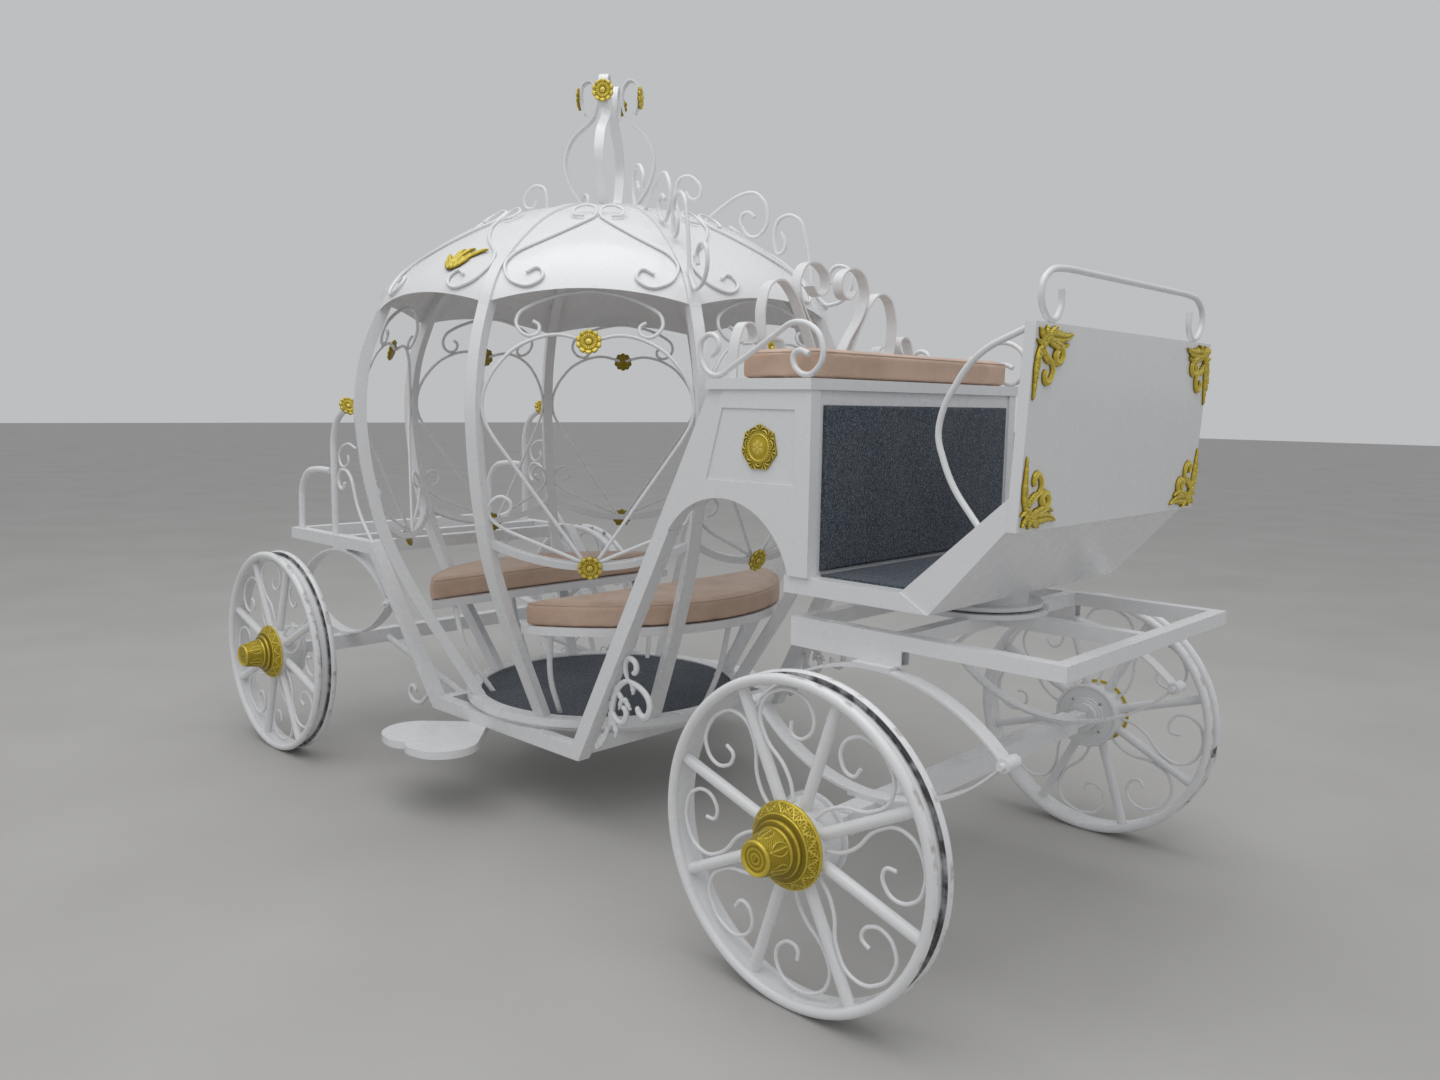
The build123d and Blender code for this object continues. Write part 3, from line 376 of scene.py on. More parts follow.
for name, (x, side) in wheels.items():
    whole = turned_shell(boss_seal, seal_steps, seal_cell, len(boss_seal))
    ring = bpy.data.meshes.new("rim ring")
    turned_shell(rim_ring, seal_steps, seal_cell, len(rim_ring)).to_mesh(ring)
    whole.from_mesh(ring)
    inward = Matrix.Rotation(math.radians(90 * side), 4, "X")
    place = Matrix.Translation((x, side * (wheel_mid - flange_face), axle_height)) @ inward
    paint = cad[f"wheel_{name}"].data.materials[0]
    piece(f"hub_seal_{name}", whole, f"{name}_wheel", paint, [place])


# Body paint. Every tube, plate and scroll of the carriage has the same sprayed white gloss.

body_paint = gloss_paint("body paint")
wear(
    body_paint,
    "axle_front", "axle_rear", "springs_front", "springs_rear",
    "cradle_left", "cradle_right", "cradle_crossbars", "ribs_left", "ribs_right",
    "dome_panels", "crown", "cage_floor", "bench_frame_rear", "bench_frame_front",
    "grille_front", "grille_front_left", "grille_rear_left", "grille_rear",
    "grille_rear_right", "grille_front_right", "dome_scrolls", "crest_scrolls", "finial",
    "step_right", "step_left", "box_panel_left", "box_panel_right", "seat_tray",
    "box_riser", "driver_floor", "footboard", "dash", "seat_back", "seat_side_rails",
    "dash_rails", "turntable_upper", "turntable_lower", "front_frame",
    "handrail_left", "handrail_right",
)


# Rosettes. Cast sunflower plates in gold paint, a ring of broad petals behind a ring of narrow
# ones, screwed over the crossings of the grilles, on the curls of the finial and on the ends of
# the tall handrail posts.

rosette_r = 0.041
rosette_outline = [
    (0, 0.0110), (0.006, 0.0104), (0.0100, 0.0078), (0.0112, 0.0045), (0.0255, 0.0062),
    (0.0275, 0.0046), (0.0365, 0.0060), (0.041, 0.0034), (0.041, 0), (0, 0),
]
rosette_steps = 120
rosette_cell = 0.0013
rosette_front = 7
outer_petals = 10
inner_petals = 20
# height and distance from the cage's axis where a plate's back lies, and its lean in degrees
bay_rosettes = [
    (1.6659, 0.8365, 17.45),
    (0.9433, 0.7895, -17.25),
]
rosette_bays = (0, 45, 135, 180, 225, 315)
finial_curls = (36, 126, 216, 306)
finial_plate = (0.1144, 0, 2.620)
cage_axis = -0.284
post_end = (-1.391, 0.512, 1.4455)
post_end_rise = 26.8


def petal_relief(angle, r, z):
    """Domed heart with a pit, a ring of narrow ribs and a ring of broad round petals."""
    # the second value is painted shading: dark in the pit and the hollows, light on the petals and
    # ribs
    share = r / rosette_r
    if z < 0.001 or share > 0.999:
        return 0, 0.2
    if share < 0.27:
        pit = ridge(math.hypot(r * math.cos(angle) - 0.004, r * math.sin(angle)), 0.003)
        return -0.0010 * pit, 0.95 - 0.7 * pit - 0.5 * ridge(share - 0.27, 0.05)
    broad = abs(math.cos(angle * outer_petals / 2)) ** 0.6
    if share < 0.64:
        narrow = abs(math.cos(angle * inner_petals / 2)) ** 0.9
        lift = ridge(share - 0.50, 0.22)
        return 0.0026 * narrow * lift, 0.05 + 0.95 * narrow * lift
    lift = broad * ridge(share - 0.86, 0.24)
    return 0.0030 * lift, 0.05 + 0.95 * lift


rosette = turned_shell(rosette_outline, rosette_steps, rosette_cell, rosette_front)
emboss(rosette, petal_relief)
for vert in rosette.verts:
    share = vert.co.xy.length / rosette_r
    if share > 0.75:
        notch = 1 - abs(math.cos(math.atan2(vert.co.y, vert.co.x) * outer_petals / 2)) ** 0.55
        vert.co.xy *= 1 - 0.16 * notch * (share - 0.75) / 0.25
to_axis = Matrix.Translation((cage_axis, 0, 0))
places = []
for bay in rosette_bays:
    for z, r, lean in bay_rosettes:
        turn = Matrix.Rotation(math.radians(bay), 4, "Z")
        tip = Matrix.Rotation(math.radians(90 - lean), 4, "Y")
        places.append(to_axis @ turn @ Matrix.Translation((r, 0, z)) @ tip)
for curl in finial_curls:
    turn = Matrix.Rotation(math.radians(curl), 4, "Z")
    tip = Matrix.Rotation(math.radians(90), 4, "Y")
    places.append(to_axis @ turn @ Matrix.Translation(finial_plate) @ tip)
for side in (-1, 1):
    along_post = Matrix.Rotation(math.radians(90 - post_end_rise), 4, "Y")
    end = Matrix.Translation((post_end[0], side * post_end[1], post_end[2]))
    places.append(end @ along_post)
rosettes = piece("gilt_rosettes", rosette, "carriage_body", gold, places)
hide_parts("gilt_plates")


# Medallions. Seven sided cast plates in gold paint on the side panels: a leafy border, a ring of
# beads, a round frame and a domed field with a small blossom.

medallion_r = 0.066
medallion_outline = [(0, 0.0085), (0.030, 0.0062), (medallion_r, 0.0045), (medallion_r, 0), (0, 0)]
medallion_steps = 252
medallion_cell = 0.0012
medallion_front = 2
medallion_sides = 7
medallion_at = (0.987, 0.541, 1.361)
field_r = 0.034
frame_r = 0.040
beads_r = 0.0455
bead_count = 36


def medallion_relief(angle, r, z):
    """Fans in the border's corners, beads, a round frame and a blossom."""
    # the second value is painted shading: dark in the hollows, light on the frame, beads, fans and
    # blossom
    if z < 0.001 or r > 0.0659:
        return 0, 0.3
    if r < field_r:
        share = r / field_r
        petals = abs(math.cos(angle * 3)) ** 0.8 * ridge(share - 0.36, 0.3)
        heart = ridge(share, 0.16)
        height = max(petals, heart)
        return 0.0016 * height + 0.0028 * (1 - share * share), 0.45 + 0.55 * height
    if r < frame_r:
        height = ridge(r - 0.037, 0.003)
        return 0.0030 * height, 0.1 + 0.9 * height
    if r < beads_r:
        bead = ridge((angle * bead_count / math.tau % 1 - 0.5) * 6.8, 2.6)
        bead *= ridge(r - 0.0428, 0.0026)
        return 0.0022 * bead, 0.1 + 0.9 * bead
    turn = (angle * medallion_sides / math.tau + 0.5) % 1 - 0.5
    reach = (r - beads_r) / 0.0205
    fan = max(0, math.cos((math.atan2(reach * 20 + 3, turn * 50) - math.pi / 2) * 11))
    height = fan * min(1, 6 * (1 - reach)) * min(1, 8 * reach)
    rim = ridge(1 - reach, 0.12)
    return 0.0026 * max(height, rim), 0.05 + 0.95 * max(height, rim)


medallion = turned_shell(medallion_outline, medallion_steps, medallion_cell, medallion_front)
emboss(medallion, medallion_relief)
sector = math.tau / medallion_sides
for vert in medallion.verts:
    r = vert.co.xy.length
    if r > 0.046:
        angle = math.atan2(vert.co.y, vert.co.x) % sector - sector / 2
        flat = math.cos(sector / 2) / math.cos(angle)
        vert.co.xy *= 1 - (1 - flat) * min(1, (r - 0.046) / 0.020)
places = []
for side in (-1, 1):
    outward = Matrix.Rotation(math.radians(-90 * side), 4, "X")
    point_up = Matrix.Rotation(math.radians(-90 * side), 4, "Z")
    at = Matrix.Translation((medallion_at[0], side * medallion_at[1], medallion_at[2]))
    places.append(at @ outward @ point_up)
medallions = piece("gilt_medallions", medallion, "carriage_body", gold, places)
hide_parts("gilt_plates")


# Dash corners. Cast acanthus sprays in gold paint, one in each corner of the dash board's front:
# a long leaf along the side, a broad one along the edge, small ones in the corner and two curls.

# lines of a spray: mm in from the side and from the edge, then half width, height and lobes
spray_leaves = [
    ([(34, 44), (18, 80), (15, 130), (11, 178)], 15, 10, 5),
    ([(32, 46), (10, 70), (7, 100), (8, 140)], 9, 13, 3),
    ([(46, 36), (84, 22), (128, 46), (179, 18)], 24, 12, 5),
    ([(60, 40), (92, 44), (128, 66), (158, 42)], 14, 13, 3),
    ([(56, 40), (64, 28), (74, 14), (94, 7)], 11, 13, 2),
    ([(52, 52), (36, 40), (24, 26), (13, 13)], 14, 13, 3),
    ([(54, 46), (46, 34), (42, 20), (46, 7)], 10, 14, 2),
    ([(46, 54), (30, 50), (16, 46), (5, 40)], 10, 13, 2),
    ([(40, 58), (42, 72), (54, 84), (68, 94)], 11, 11, 2),
    ([(92, 46), (108, 56), (112, 70), (108, 84)], 9, 11, 2),
]
long_curl = [
    (70, 48), (112, 34), (142, 58), (134, 78), (126, 94),
    (100, 92), (98, 76), (98, 68), (108, 62), (114, 66),
]
tall_curl = [
    (44, 56), (52, 84), (88, 82), (92, 104), (96, 128),
    (70, 144), (58, 130), (52, 120), (56, 112), (64, 112),
]
spray_curls = [(long_curl, 11, 11, 0), (tall_curl, 10, 10, 0)]
dash_low = Vector((1.774, 0.532, 1.193))
dash_high = Vector((1.798, 0.532, 1.676))
mm = 0.001
front = Vector((0, 0, 1))


def placed(along, across, outward, at):
    """Place whose own X, Y and Z run along, across and outward from a point."""
    return Matrix((*zip(along, across, outward, at), (0, 0, 0, 1)))


def leaf(whole, points, half, height, lobes):
    """Crowned leaf or curl along a bent line, closed underneath. A curl has no lobes."""
    shape = bmesh.new()
    bmesh.ops.create_grid(shape, x_segments=18 * (len(points) // 3) + 12, y_segments=10, size=1)
    tone = shape.verts.layers.float.new("relief_shading")
    bends = [Vector((*point, 0)) for point in points]
    line = [bends[0]]
    for first in range(0, len(points) - 3, 3):
        line += interpolate_bezier(*bends[first:first + 4], 25)[1:]
    for vert in shape.verts:
        share, across = (vert.co.x + 1) / 2, vert.co.y
        at = min(share * (len(line) - 1), len(line) - 1.001)
        run = line[int(at) + 1] - line[int(at)]
        here = line[int(at)] + run * (at % 1)
        crown = math.sqrt(max(0.0, 1 - across * across))
        if lobes:
            bite = (share * lobes * 1.15 + 0.3) % 1
            width = half * min(1, 0.6 + 1.6 * share) * (1 - share ** 2.2) ** 0.7
            width *= 0.66 + 0.34 * bite ** 0.5
            vein = ridge(abs(across), 0.22)
            fan = 0.5 + 0.5 * math.cos((share * lobes * 3 + abs(across) * 0.9) * math.tau)
            rise = crown * (0.55 + 0.25 * fan + 0.2 * bite) - 0.28 * vein
        else:
            width = half * (1 - share ** 14) ** 0.5 * (1 - 0.35 * (1 - share) ** 3)
            vein = ridge(abs(abs(across) - 0.45), 0.2)
            rise = crown * 0.95 - 0.22 * vein
        rise *= min(1, share * 9 + 0.2) * min(1, (1 - share) * 9 + 0.45) if crown else 0
        aside = run.normalized().cross(front)
        vert.co = (here + aside * across * width + front * max(0, rise) * height) * mm
        # painted highlight on the leaf's crown and painted shade in its vein and toward its low
        # edges
        vert[tone] = max(0.0, min(1, rise * 1.5 - 0.35 * vein - 0.15))
    bmesh.ops.remove_doubles(shape, verts=shape.verts, dist=1e-5)
    rim = [edge for edge in shape.edges if edge.is_boundary]
    bmesh.ops.contextual_create(shape, geom=rim)
    bmesh.ops.recalc_face_normals(shape, faces=shape.faces)
    flat = bpy.data.meshes.new("leaf")
    shape.to_mesh(flat)
    shape.free()
    whole.from_mesh(flat)


spray = bmesh.new()
for stroke in spray_leaves + spray_curls:
    leaf(spray, *stroke)
places = []
for side in (-1, 1):
    for start_at, end_at in ((dash_low, dash_high), (dash_high, dash_low)):
        inward = Vector((0, -side, 0))
        along = (end_at - start_at).normalized()
        outward = Vector((dash_high - dash_low).cross(Vector((0, -1, 0)))).normalized()
        outward = outward if outward.x > 0 else -outward
        at = Vector((start_at.x, side * start_at.y, start_at.z))
        places.append(placed(inward, along, outward, at))
sprays = piece("gilt_dash_sprays", spray, "carriage_body", gold, places)
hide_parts("gilt_plates")


# Dome spray. One cast acanthus wing in gold paint, screwed to the dome over the right doorway.

# places of its foot, its tip and its upper corner, and lines of its leaves as on the dash
spray_foot = Vector((0.118 + cage_axis, -0.796, 1.893))
spray_tip = Vector((0.208 + cage_axis, -0.698, 1.962))
spray_top = Vector((0.036 + cage_axis, -0.732, 1.958))
spray_proud = 0.003
wing_leaves = [
    ([(6, 10), (40, 34), (90, 44), (154, 4)], 24, 11, 5),
    ([(8, 14), (26, 52), (66, 84), (114, 60)], 17, 12, 4),
    ([(10, 14), (10, 52), (18, 88), (28, 116)], 17, 11, 4),
    ([(18, 36), (36, 66), (54, 92), (82, 92)], 14, 12, 3),
    ([(20, 6), (40, 2), (60, 6), (84, 8)], 11, 12, 3),
]

wing = bmesh.new()
for stroke in wing_leaves:
    leaf(wing, *stroke)
along = (spray_tip - spray_foot).normalized()
outward = along.cross(spray_top - spray_foot).normalized()
across = outward.cross(along)
at = spray_foot + outward * spray_proud
place = placed(along, across, outward, at)
piece("gilt_dome_spray", wing, "carriage_body", gold, [place])


# Leaf scrolls. Flat white castings welded into the corner ahead of each front strut's foot: a stem
# that rises from a long leaf, a curl above, a big and a small curl with a knob, and hanging buds.
# Behind each rear strut's foot sits a small curl of its own.

# lines in mm of (x, z) in the carriage, and in a stroke also half width, height and lobes
upper_curl = [(408, 582), (380, 622), (392, 676), (436, 652), (456, 638), (446, 604), (426, 616)]
big_curl = [(396, 582), (476, 580), (530, 540), (506, 492), (494, 462), (448, 478), (454, 508)]
small_curl = [(318, 500), (322, 440), (386, 410), (398, 462), (402, 480), (390, 492), (378, 484)]
cast_strokes = [
    ([(240, 317), (262, 340), (306, 372), (318, 432)], 19, 8, 4),
    ([(316, 462), (330, 420), (360, 416), (344, 372)], 18, 8, 3),
    ([(314, 396), (336, 470), (320, 556), (412, 584)], 12, 9, 0),
    (upper_curl, 11, 9, 0),
    (big_curl, 13, 9, 0),
    (small_curl, 12, 9, 0),
    ([(430, 580), (428, 568), (434, 558), (432, 540)], 15, 9, 2),
    ([(340, 556), (356, 530), (376, 520), (386, 506)], 14, 9, 2),
    ([(384, 520), (372, 510), (372, 500), (364, 476)], 13, 9, 2),
    ([(388, 522), (398, 508), (406, 500), (420, 486)], 12, 9, 2),
]
rear_curl_line = [
    (-752, 345), (-757, 318), (-768, 300), (-795, 283), (-825, 252),
    (-885, 250), (-905, 290), (-912, 325), (-862, 340), (-851, 302),
]
cast_y = 0.508
rear_curl_y = 0.531

castings = [
    ("cast_leaf_scrolls", cast_strokes, cast_y),
    ("cast_rear_curls", [(rear_curl_line, 10, 8, 0)], rear_curl_y),
]
for name, strokes, reach in castings:
    casting = bmesh.new()
    for stroke in strokes:
        leaf(casting, *stroke)
    places = []
    for side in (-1, 1):
        for face in (-1, 1):
            places.append(placed((1, 0, 0), (0, 0, 1), (0, face, 0), (0, side * reach, 0)))
    piece(name, casting, "carriage_body", body_paint, places)


# Cushions. Firm foam covered in pinkish beige leatherette, a band between two panels with a thin
# welt sewn round the top edge. They lie loose on the benches and the driver's seat.

leather_light = (0.66, 0.47, 0.355, 1)
leather_dark = (0.54, 0.37, 0.27, 1)
leather_rubbed = (0.70, 0.57, 0.48, 1)
edge_light = (0.55, 0.41, 0.33, 1)
edge_dark = (0.45, 0.33, 0.26, 1)
cushion_gap = 0.006
swell_pressure = 4
swell_steps = 20
swell_cap = 0.011
pucker_depth = 0.0016
voxel = 0.0075
welt_r = 0.0032
welt_below = 0.007
welt_points = 400
bench_r = 0.700
bench_sides = 128
bench_corner = 0.035
seat_corner = 0.03


def leather(name, light, dark):
    """Leatherette with a fine grain, soft creases, patchy tone and paler rubbed patches."""
    material, tree, shader, place = start(name)
    colour = mixed(tree, spread(tree, cloud(tree, place, 9.0, 5.0), 0.3, 0.72, 0, 1), light, dark)
    rubbed = spread(tree, cloud(tree, place, 2.6, 4.0), 0.55, 0.75, 0, 0.35)
    colour = mixed(tree, rubbed, colour, leather_rubbed)
    tree.links.new(colour, shader.inputs["Base Color"])
    rough = spread(tree, cloud(tree, place, 30.0), 0.3, 0.7, 0.36, 0.5)
    tree.links.new(rough, shader.inputs["Roughness"])
    pores = add(tree, "TexVoronoi", {"Vector": place, "Scale": 620.0}).outputs["Distance"]
    grain = sum_of(tree, "ADD", times(tree, pores, 0.5), cloud(tree, place, 190.0, 4.0))
    winding = {"Vector": place, "Scale": 17.0, "Detail": 5.0, "Distortion": 1.4}
    creases = add(tree, "TexNoise", winding).outputs[0]
    off_middle = sum_of(tree, "SUBTRACT", creases, 0.5)
    folds = times(tree, sum_of(tree, "ABSOLUTE", off_middle, 0), 9.0)
    bump = {"Height": sum_of(tree, "ADD", grain, folds), "Strength": 0.5, "Distance": 0.0009}
    tree.links.new(add(tree, "Bump", bump).outputs[0], shader.inputs["Normal"])
    return material


def settled(made):
    """Object whose modifiers have been applied to its mesh."""
    seen = made.evaluated_get(bpy.context.evaluated_depsgraph_get())
    made.data = bpy.data.meshes.new_from_object(seen)
    made.modifiers.clear()
    return made


def cushion(name, slab, low, high, node):
    """Padded piece swollen from a slab between two heights, kept above the lower one."""
    mesh = bpy.data.meshes.new(name)
    slab.to_mesh(mesh)
    pad = in_scene(name, mesh)
    cells = pad.modifiers.new("cells", "REMESH")
    cells.mode = "VOXEL"
    cells.voxel_size = voxel
    settled(pad)
    rest = [vert.co.copy() for vert in pad.data.vertices]
    cloth = pad.modifiers.new("cloth", "CLOTH")
    cloth.settings.use_pressure = True
    cloth.settings.uniform_pressure_force = swell_pressure
    cloth.settings.effector_weights.gravity = 0
    for step in range(1, swell_steps + 1):
        bpy.context.scene.frame_set(step)
    settled(pad)
    for vert, was in zip(pad.data.vertices, rest):
        move = vert.co - was
        if move.length > 0:
            move *= swell_cap * math.tanh(move.length / swell_cap) / move.length
        lowness = min(1.0, max(0.0, (high - was.z) / (high - low)))
        pucker = noise.noise(Vector((was.x * 14, was.y * 14, was.z * 5)))
        move += Vector((was.x, was.y, 0)).normalized() * pucker * pucker_depth * lowness
        vert.co = was + move
        vert.co.z = max(vert.co.z, low)
    finer = pad.modifiers.new("finer", "SUBSURF")
    finer.levels = finer.render_levels = 1
    settled(pad)
    for face in pad.data.polygons:
        face.use_smooth = True
    pad.data.materials.append(hide)
    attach(pad, "carriage_body")
    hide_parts(node)
    return pad


def welt(name, pad, centre, reach, height):
    """Thin cord of leatherette sewn round a cushion at a height, pressed into its cover."""
    corners = [vert.co for vert in pad.data.vertices]
    tree = BVHTree.FromPolygons(corners, [face.vertices for face in pad.data.polygons])
    line = bpy.data.curves.new(name, "CURVE")
    line.dimensions = "3D"
    line.bevel_depth = welt_r
    line.bevel_resolution = 2
    round_trip = line.splines.new("POLY")
    points = []
    for turn in range(welt_points):
        angle = turn * math.tau / welt_points
        outward = Vector((math.cos(angle) * reach[0], math.sin(angle) * reach[1], 0))
        edge = Vector((centre[0], centre[1], height)) + outward * 1.6
        spot = tree.ray_cast(edge, -outward.normalized(), outward.length * 1.6)[0]
        if spot:
            points.append(spot)
    round_trip.points.add(len(points) - 1)
    for slot, spot in zip(round_trip.points, points):
        slot.co = (*spot, 1)
    round_trip.use_cyclic_u = True
    made = in_scene(name, line)
    seen = made.evaluated_get(bpy.context.evaluated_depsgraph_get())
    mesh = bpy.data.meshes.new_from_object(seen)
    bpy.data.objects.remove(made)
    cord = in_scene(name, mesh)
    for face in mesh.polygons:
        face.use_smooth = True
    mesh.materials.clear()
    mesh.materials.append(hide_edge)
    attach(cord, "carriage_body")


def thickened(shape, thick):
    """Give flat faces a thickness upwards."""
    grown = bmesh.ops.extrude_face_region(shape, geom=shape.faces[:])["geom"]
    tops = [item for item in grown if isinstance(item, bmesh.types.BMVert)]
    bmesh.ops.translate(shape, verts=tops, vec=(0, 0, thick))
    bmesh.ops.recalc_face_normals(shape, faces=shape.faces)


def raised(shape, low, high):
    """Slab between two heights made from a flat outline face."""
    bmesh.ops.translate(shape, verts=shape.verts, vec=(0, 0, low + cushion_gap))
    thickened(shape, high - low - 2 * cushion_gap)
    return shape


hide = leather("cushion leatherette", leather_light, leather_dark)
hide_edge = leather("welt leatherette", edge_light, edge_dark)
round_off = {"affect": "VERTICES", "segments": 6, "profile": 0.5, "material": -1}

# name of a bench, where its cushion's straight edge lies, and which way it looks from there
bench_pads = [
    ("rear", -0.589, -1),
    ("front", -0.009, 1),
]
bench_low, bench_high = 0.7204, 0.8004
bench_middle = 0.19
bench_reach = (0.30, 0.75)
for name, chord, ahead in bench_pads:
    disc = bmesh.new()
    rim_r = bench_r - cushion_gap
    bmesh.ops.create_circle(disc, cap_ends=True, segments=bench_sides, radius=rim_r)
    bmesh.ops.translate(disc, verts=disc.verts, vec=(cage_axis, 0, 0))
    cut = {"plane_co": (chord + ahead * cushion_gap, 0, 0), "plane_no": (-ahead, 0, 0)}
    every = disc.verts[:] + disc.edges[:] + disc.faces[:]
    bmesh.ops.bisect_plane(disc, geom=every, dist=1e-6, clear_outer=True, **cut)
    near = [vert for vert in disc.verts if abs(vert.co.x - chord) < 0.01]
    corners = [vert for vert in near if abs(vert.co.y) > 0.5]
    bmesh.ops.bevel(disc, geom=corners, offset=bench_corner, **round_off)
    slab = raised(disc, bench_low, bench_high)
    pad = cushion(f"bench_pad_{name}", slab, bench_low, bench_high, f"bench_cushion_{name}")
    middle = (chord + ahead * bench_middle, 0)
    welt(f"bench_welt_{name}", pad, middle, bench_reach, bench_high - welt_below)

seat_low, seat_high = 1.5524, 1.6304
seat_back_x, seat_front_x, seat_half = 0.866, 1.168, 0.525
seat_middle = (seat_back_x + seat_front_x) / 2
seat_reach = (0.2, 0.6)
flat = bmesh.new()
bmesh.ops.create_grid(flat, x_segments=1, y_segments=1, size=1)
half_x = (seat_front_x - seat_back_x) / 2 - cushion_gap
bmesh.ops.scale(flat, verts=flat.verts, vec=(half_x, seat_half - cushion_gap, 1))
bmesh.ops.translate(flat, verts=flat.verts, vec=(seat_middle, 0, 0))
bmesh.ops.bevel(flat, geom=flat.verts[:], offset=seat_corner, **round_off)
slab = raised(flat, seat_low, seat_high)
pad = cushion("driver_pad", slab, seat_low, seat_high, "driver_cushion")
welt("driver_welt", pad, (seat_middle, 0), seat_reach, seat_high - welt_below)


# Carpets. Dark blue grey loop pile, 6 mm thick, cut to size and glued down: a round one on the
# cage's floor and three in the driver's box, on the riser, the floor and the sloping footboard.

pile_thick = 0.006
pile_dark = (0.045, 0.064, 0.088, 1)
pile_mid = (0.11, 0.145, 0.19, 1)
pile_light = (0.27, 0.29, 0.33, 1)
pile_worn = (0.22, 0.225, 0.235, 1)
# near-black painted shade for the hollows between the loops
pile_hollow_shade = (0.02, 0.023, 0.03, 1)
pile_cell = 0.009
pile_edge = 0.0015
rug_steps = 160
carpet_r = 0.4996
carpet_z = 0.350
box_carpet_half = 0.486


def loop_pile(name):
    """Short loops of mixed dark yarns with lint and pale dust in them, and painted shade between
    the loops.
    """
    material, tree, shader, place = start(name)
    loops = add(tree, "TexVoronoi", {"Vector": place, "Scale": 260.0}).outputs
    yarn = add(tree, "SeparateXYZ", {0: loops["Color"]}).outputs[0]
    colour = mixed(tree, spread(tree, yarn, 0.2, 0.8, 0, 1), pile_dark, pile_mid)
    colour = mixed(tree, spread(tree, yarn, 0.86, 0.95, 0, 0.8), colour, pile_light)
    patchiness = spread(tree, cloud(tree, place, 5.0, 6.0), 0.42, 0.75, 0, 0.30)
    colour = mixed(tree, patchiness, colour, pile_worn)
    # painted shade in the hollows between the loops
    hollow_shade = spread(tree, loops["Distance"], 0.25, 0.75, 0, 0.7)
    colour = mixed(tree, hollow_shade, colour, pile_hollow_shade)
    tree.links.new(colour, shader.inputs["Base Color"])
    shader.inputs["Roughness"].default_value = 0.95
    shader.inputs["Sheen Weight"].default_value = 0.12
    dome = sum_of(tree, "SUBTRACT", 1.0, loops["Distance"])
    height = sum_of(tree, "ADD", dome, times(tree, cloud(tree, place, 60.0, 3.0), 0.8))
    bump = {"Height": height, "Strength": 0.9, "Distance": 0.0022}
    tree.links.new(add(tree, "Bump", bump).outputs[0], shader.inputs["Normal"])
    return material


def waved(shape):
    """Slightly uneven pile on every vertex that faces up."""
    shape.normal_update()
    for vert in shape.verts:
        if vert.normal.z > 0.9:
            vert.co.z -= 0.0007 * (1 + noise.noise(vert.co * 31))


pile = loop_pile("carpet pile")
rug_outline = [
    (0, pile_thick), (carpet_r - pile_edge, pile_thick), (carpet_r, pile_thick - pile_edge),
    (carpet_r, 0), (0, 0),
]
disc = turned_shell(rug_outline, rug_steps, pile_cell, 1)
waved(disc)
place = Matrix.Translation((cage_axis, 0, carpet_z))
rug = piece("cage_rug", disc, "carriage_body", pile, [place])
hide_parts("cage_carpet")

slope_foot, slope_head = Vector((1.461, 0, 1.015)), Vector((1.750, 0, 1.273))
slope = (slope_head - slope_foot).normalized()
slope_up = Vector((-slope.z, 0, slope.x))
slope_gap = 0.012
slope_start = slope_foot + slope * slope_gap
slope_length = (slope_head - slope_foot).length - 2 * slope_gap
riser_foot, floor_foot = Vector((1.163, 0, 1.030)), Vector((1.171, 0, 1.015))
forwards, upwards = Vector((1, 0, 0)), Vector((0, 0, 1))
# name, middle of the foot, direction along, direction out of the pile, length, and what it lies on
box_carpets = [
    ("riser_rug", riser_foot, upwards, forwards, 0.451, "box_riser"),
    ("floor_rug", floor_foot, forwards, upwards, 0.284, "driver_floor"),
    ("footboard_rug", slope_start, slope, slope_up, slope_length, "footboard"),
]
for name, foot, along, out, length, rests in box_carpets:
    shape = bmesh.new()
    cells = int(length / pile_cell), int(2 * box_carpet_half / pile_cell)
    bmesh.ops.create_grid(shape, x_segments=cells[0], y_segments=cells[1], size=1)
    bmesh.ops.scale(shape, verts=shape.verts, vec=(length / 2, box_carpet_half, 1))
    bmesh.ops.translate(shape, verts=shape.verts, vec=(length / 2, 0, 0))
    thickened(shape, pile_thick)
    waved(shape)
    place = placed(along, out.cross(along), out, foot)
    rug = piece(name, shape, "carriage_body", pile, [place])
    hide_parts("driver_carpets")


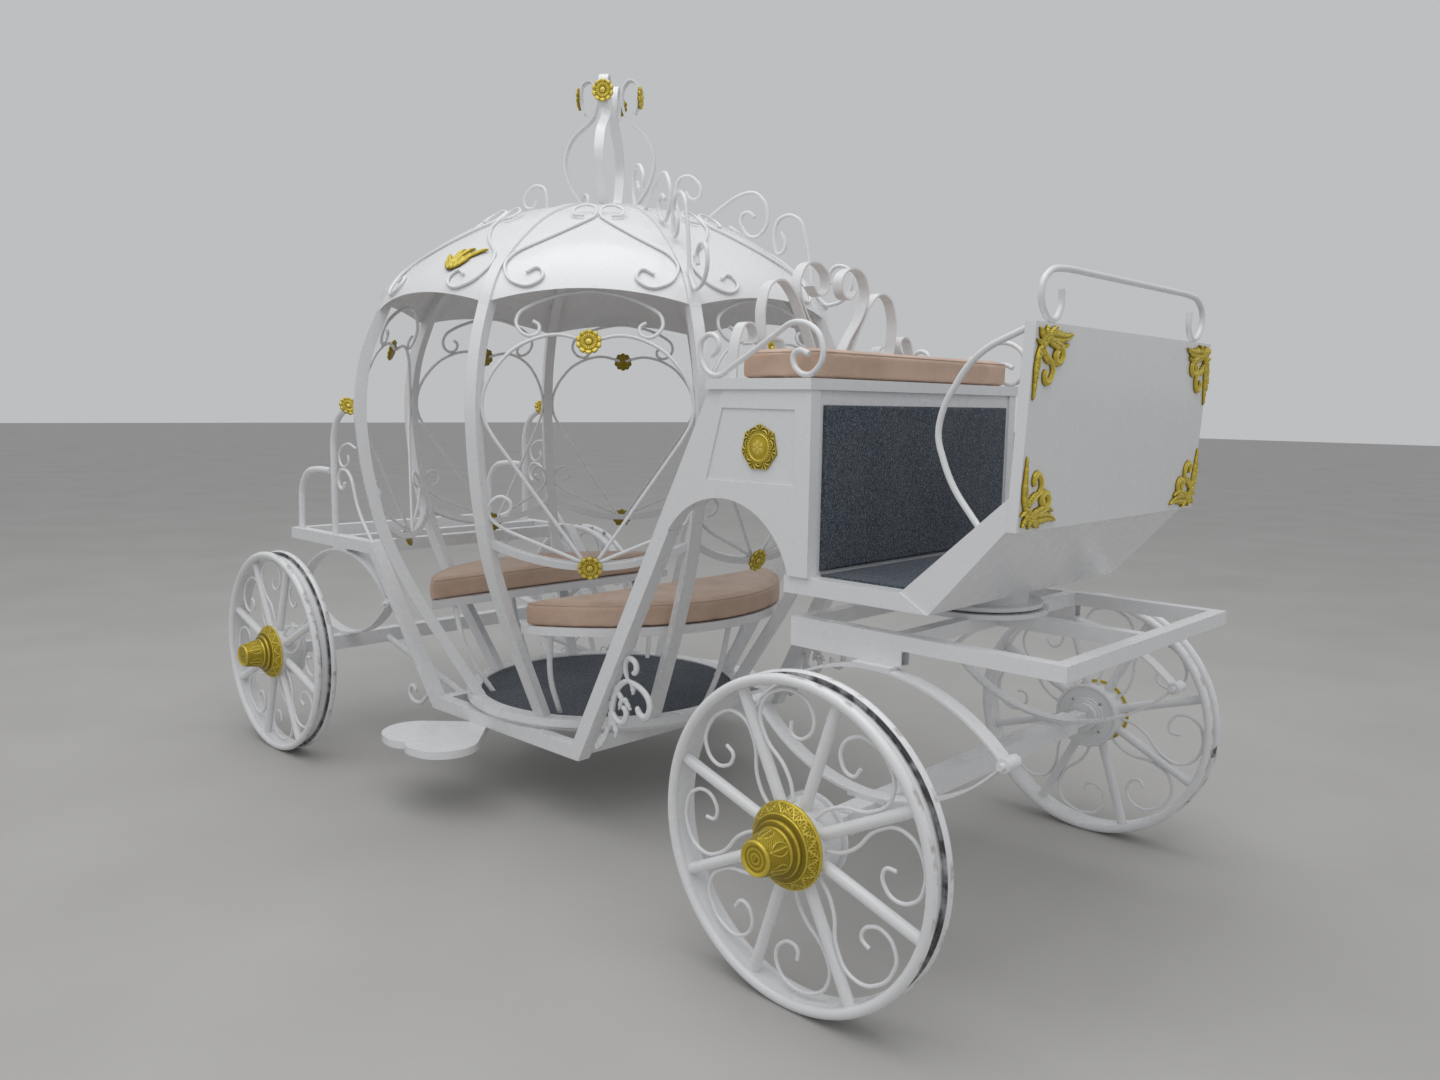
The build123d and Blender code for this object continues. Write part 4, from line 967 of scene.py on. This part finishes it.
# Floor, light and camera. A pale floor under an even, overcast light, and the camera at the
# photograph's place.

floor_grey = (0.46, 0.45, 0.435, 1)
floor_pale = (0.50, 0.49, 0.475, 1)
sky = (0.85, 0.865, 0.885, 1)
sky_strength = 0.60
lamp_at = Vector((1.0, -1.8, 7.0))
lamp_aim = Vector((0, 0, 1))

ground = bpy.data.meshes.new("floor")
shape = bmesh.new()
bmesh.ops.create_grid(shape, x_segments=1, y_segments=1, size=60)
shape.to_mesh(ground)
shape.free()
floor = in_scene("floor", ground)
material, tree, shader, place = start("pale floor")
patches = spread(tree, cloud(tree, place, 1.2), 0.3, 0.7, 0, 1)
tone = mixed(tree, patches, floor_grey, floor_pale)
tree.links.new(tone, shader.inputs["Base Color"])
shader.inputs["Roughness"].default_value = 0.85
ground.materials.append(material)

world = bpy.data.worlds.new("overcast sky")
bpy.context.scene.world = world
world.use_nodes = True
tree = world.node_tree
background = tree.nodes["Background"]
background.inputs["Color"].default_value = sky
background.inputs["Strength"].default_value = sky_strength

lamp = bpy.data.lights.new("soft sky lamp", "AREA")
lamp.shape = "DISK"
lamp.size = 9.0
lamp.energy = 250
lamp_object = in_scene("soft sky lamp", lamp)
lamp_object.location = lamp_at
lamp_object.rotation_mode = "QUATERNION"
lamp_object.rotation_quaternion = (lamp_at - lamp_aim).to_track_quat("Z", "Y")

camera_at = Vector((2.9994, -2.8169, 1.4791))
turn, tilt, roll = math.radians(133.5), math.radians(-7.1), math.radians(0.9)
forward = Vector((
    math.cos(turn) * math.cos(tilt), math.sin(turn) * math.cos(tilt), math.sin(tilt),
))
level = Vector((math.sin(turn), -math.cos(turn), 0))
upright = level.cross(forward)
right = level * math.cos(roll) + upright * math.sin(roll)
above = upright * math.cos(roll) - level * math.sin(roll)
camera = bpy.data.cameras.new("camera")
camera.lens = 27.26
camera.sensor_width = 36
camera_object = in_scene("camera", camera)
camera_object.matrix_world = placed(right, above, -forward, camera_at)
bpy.context.scene.camera = camera_object
bpy.context.scene.view_settings.view_transform = "Standard"
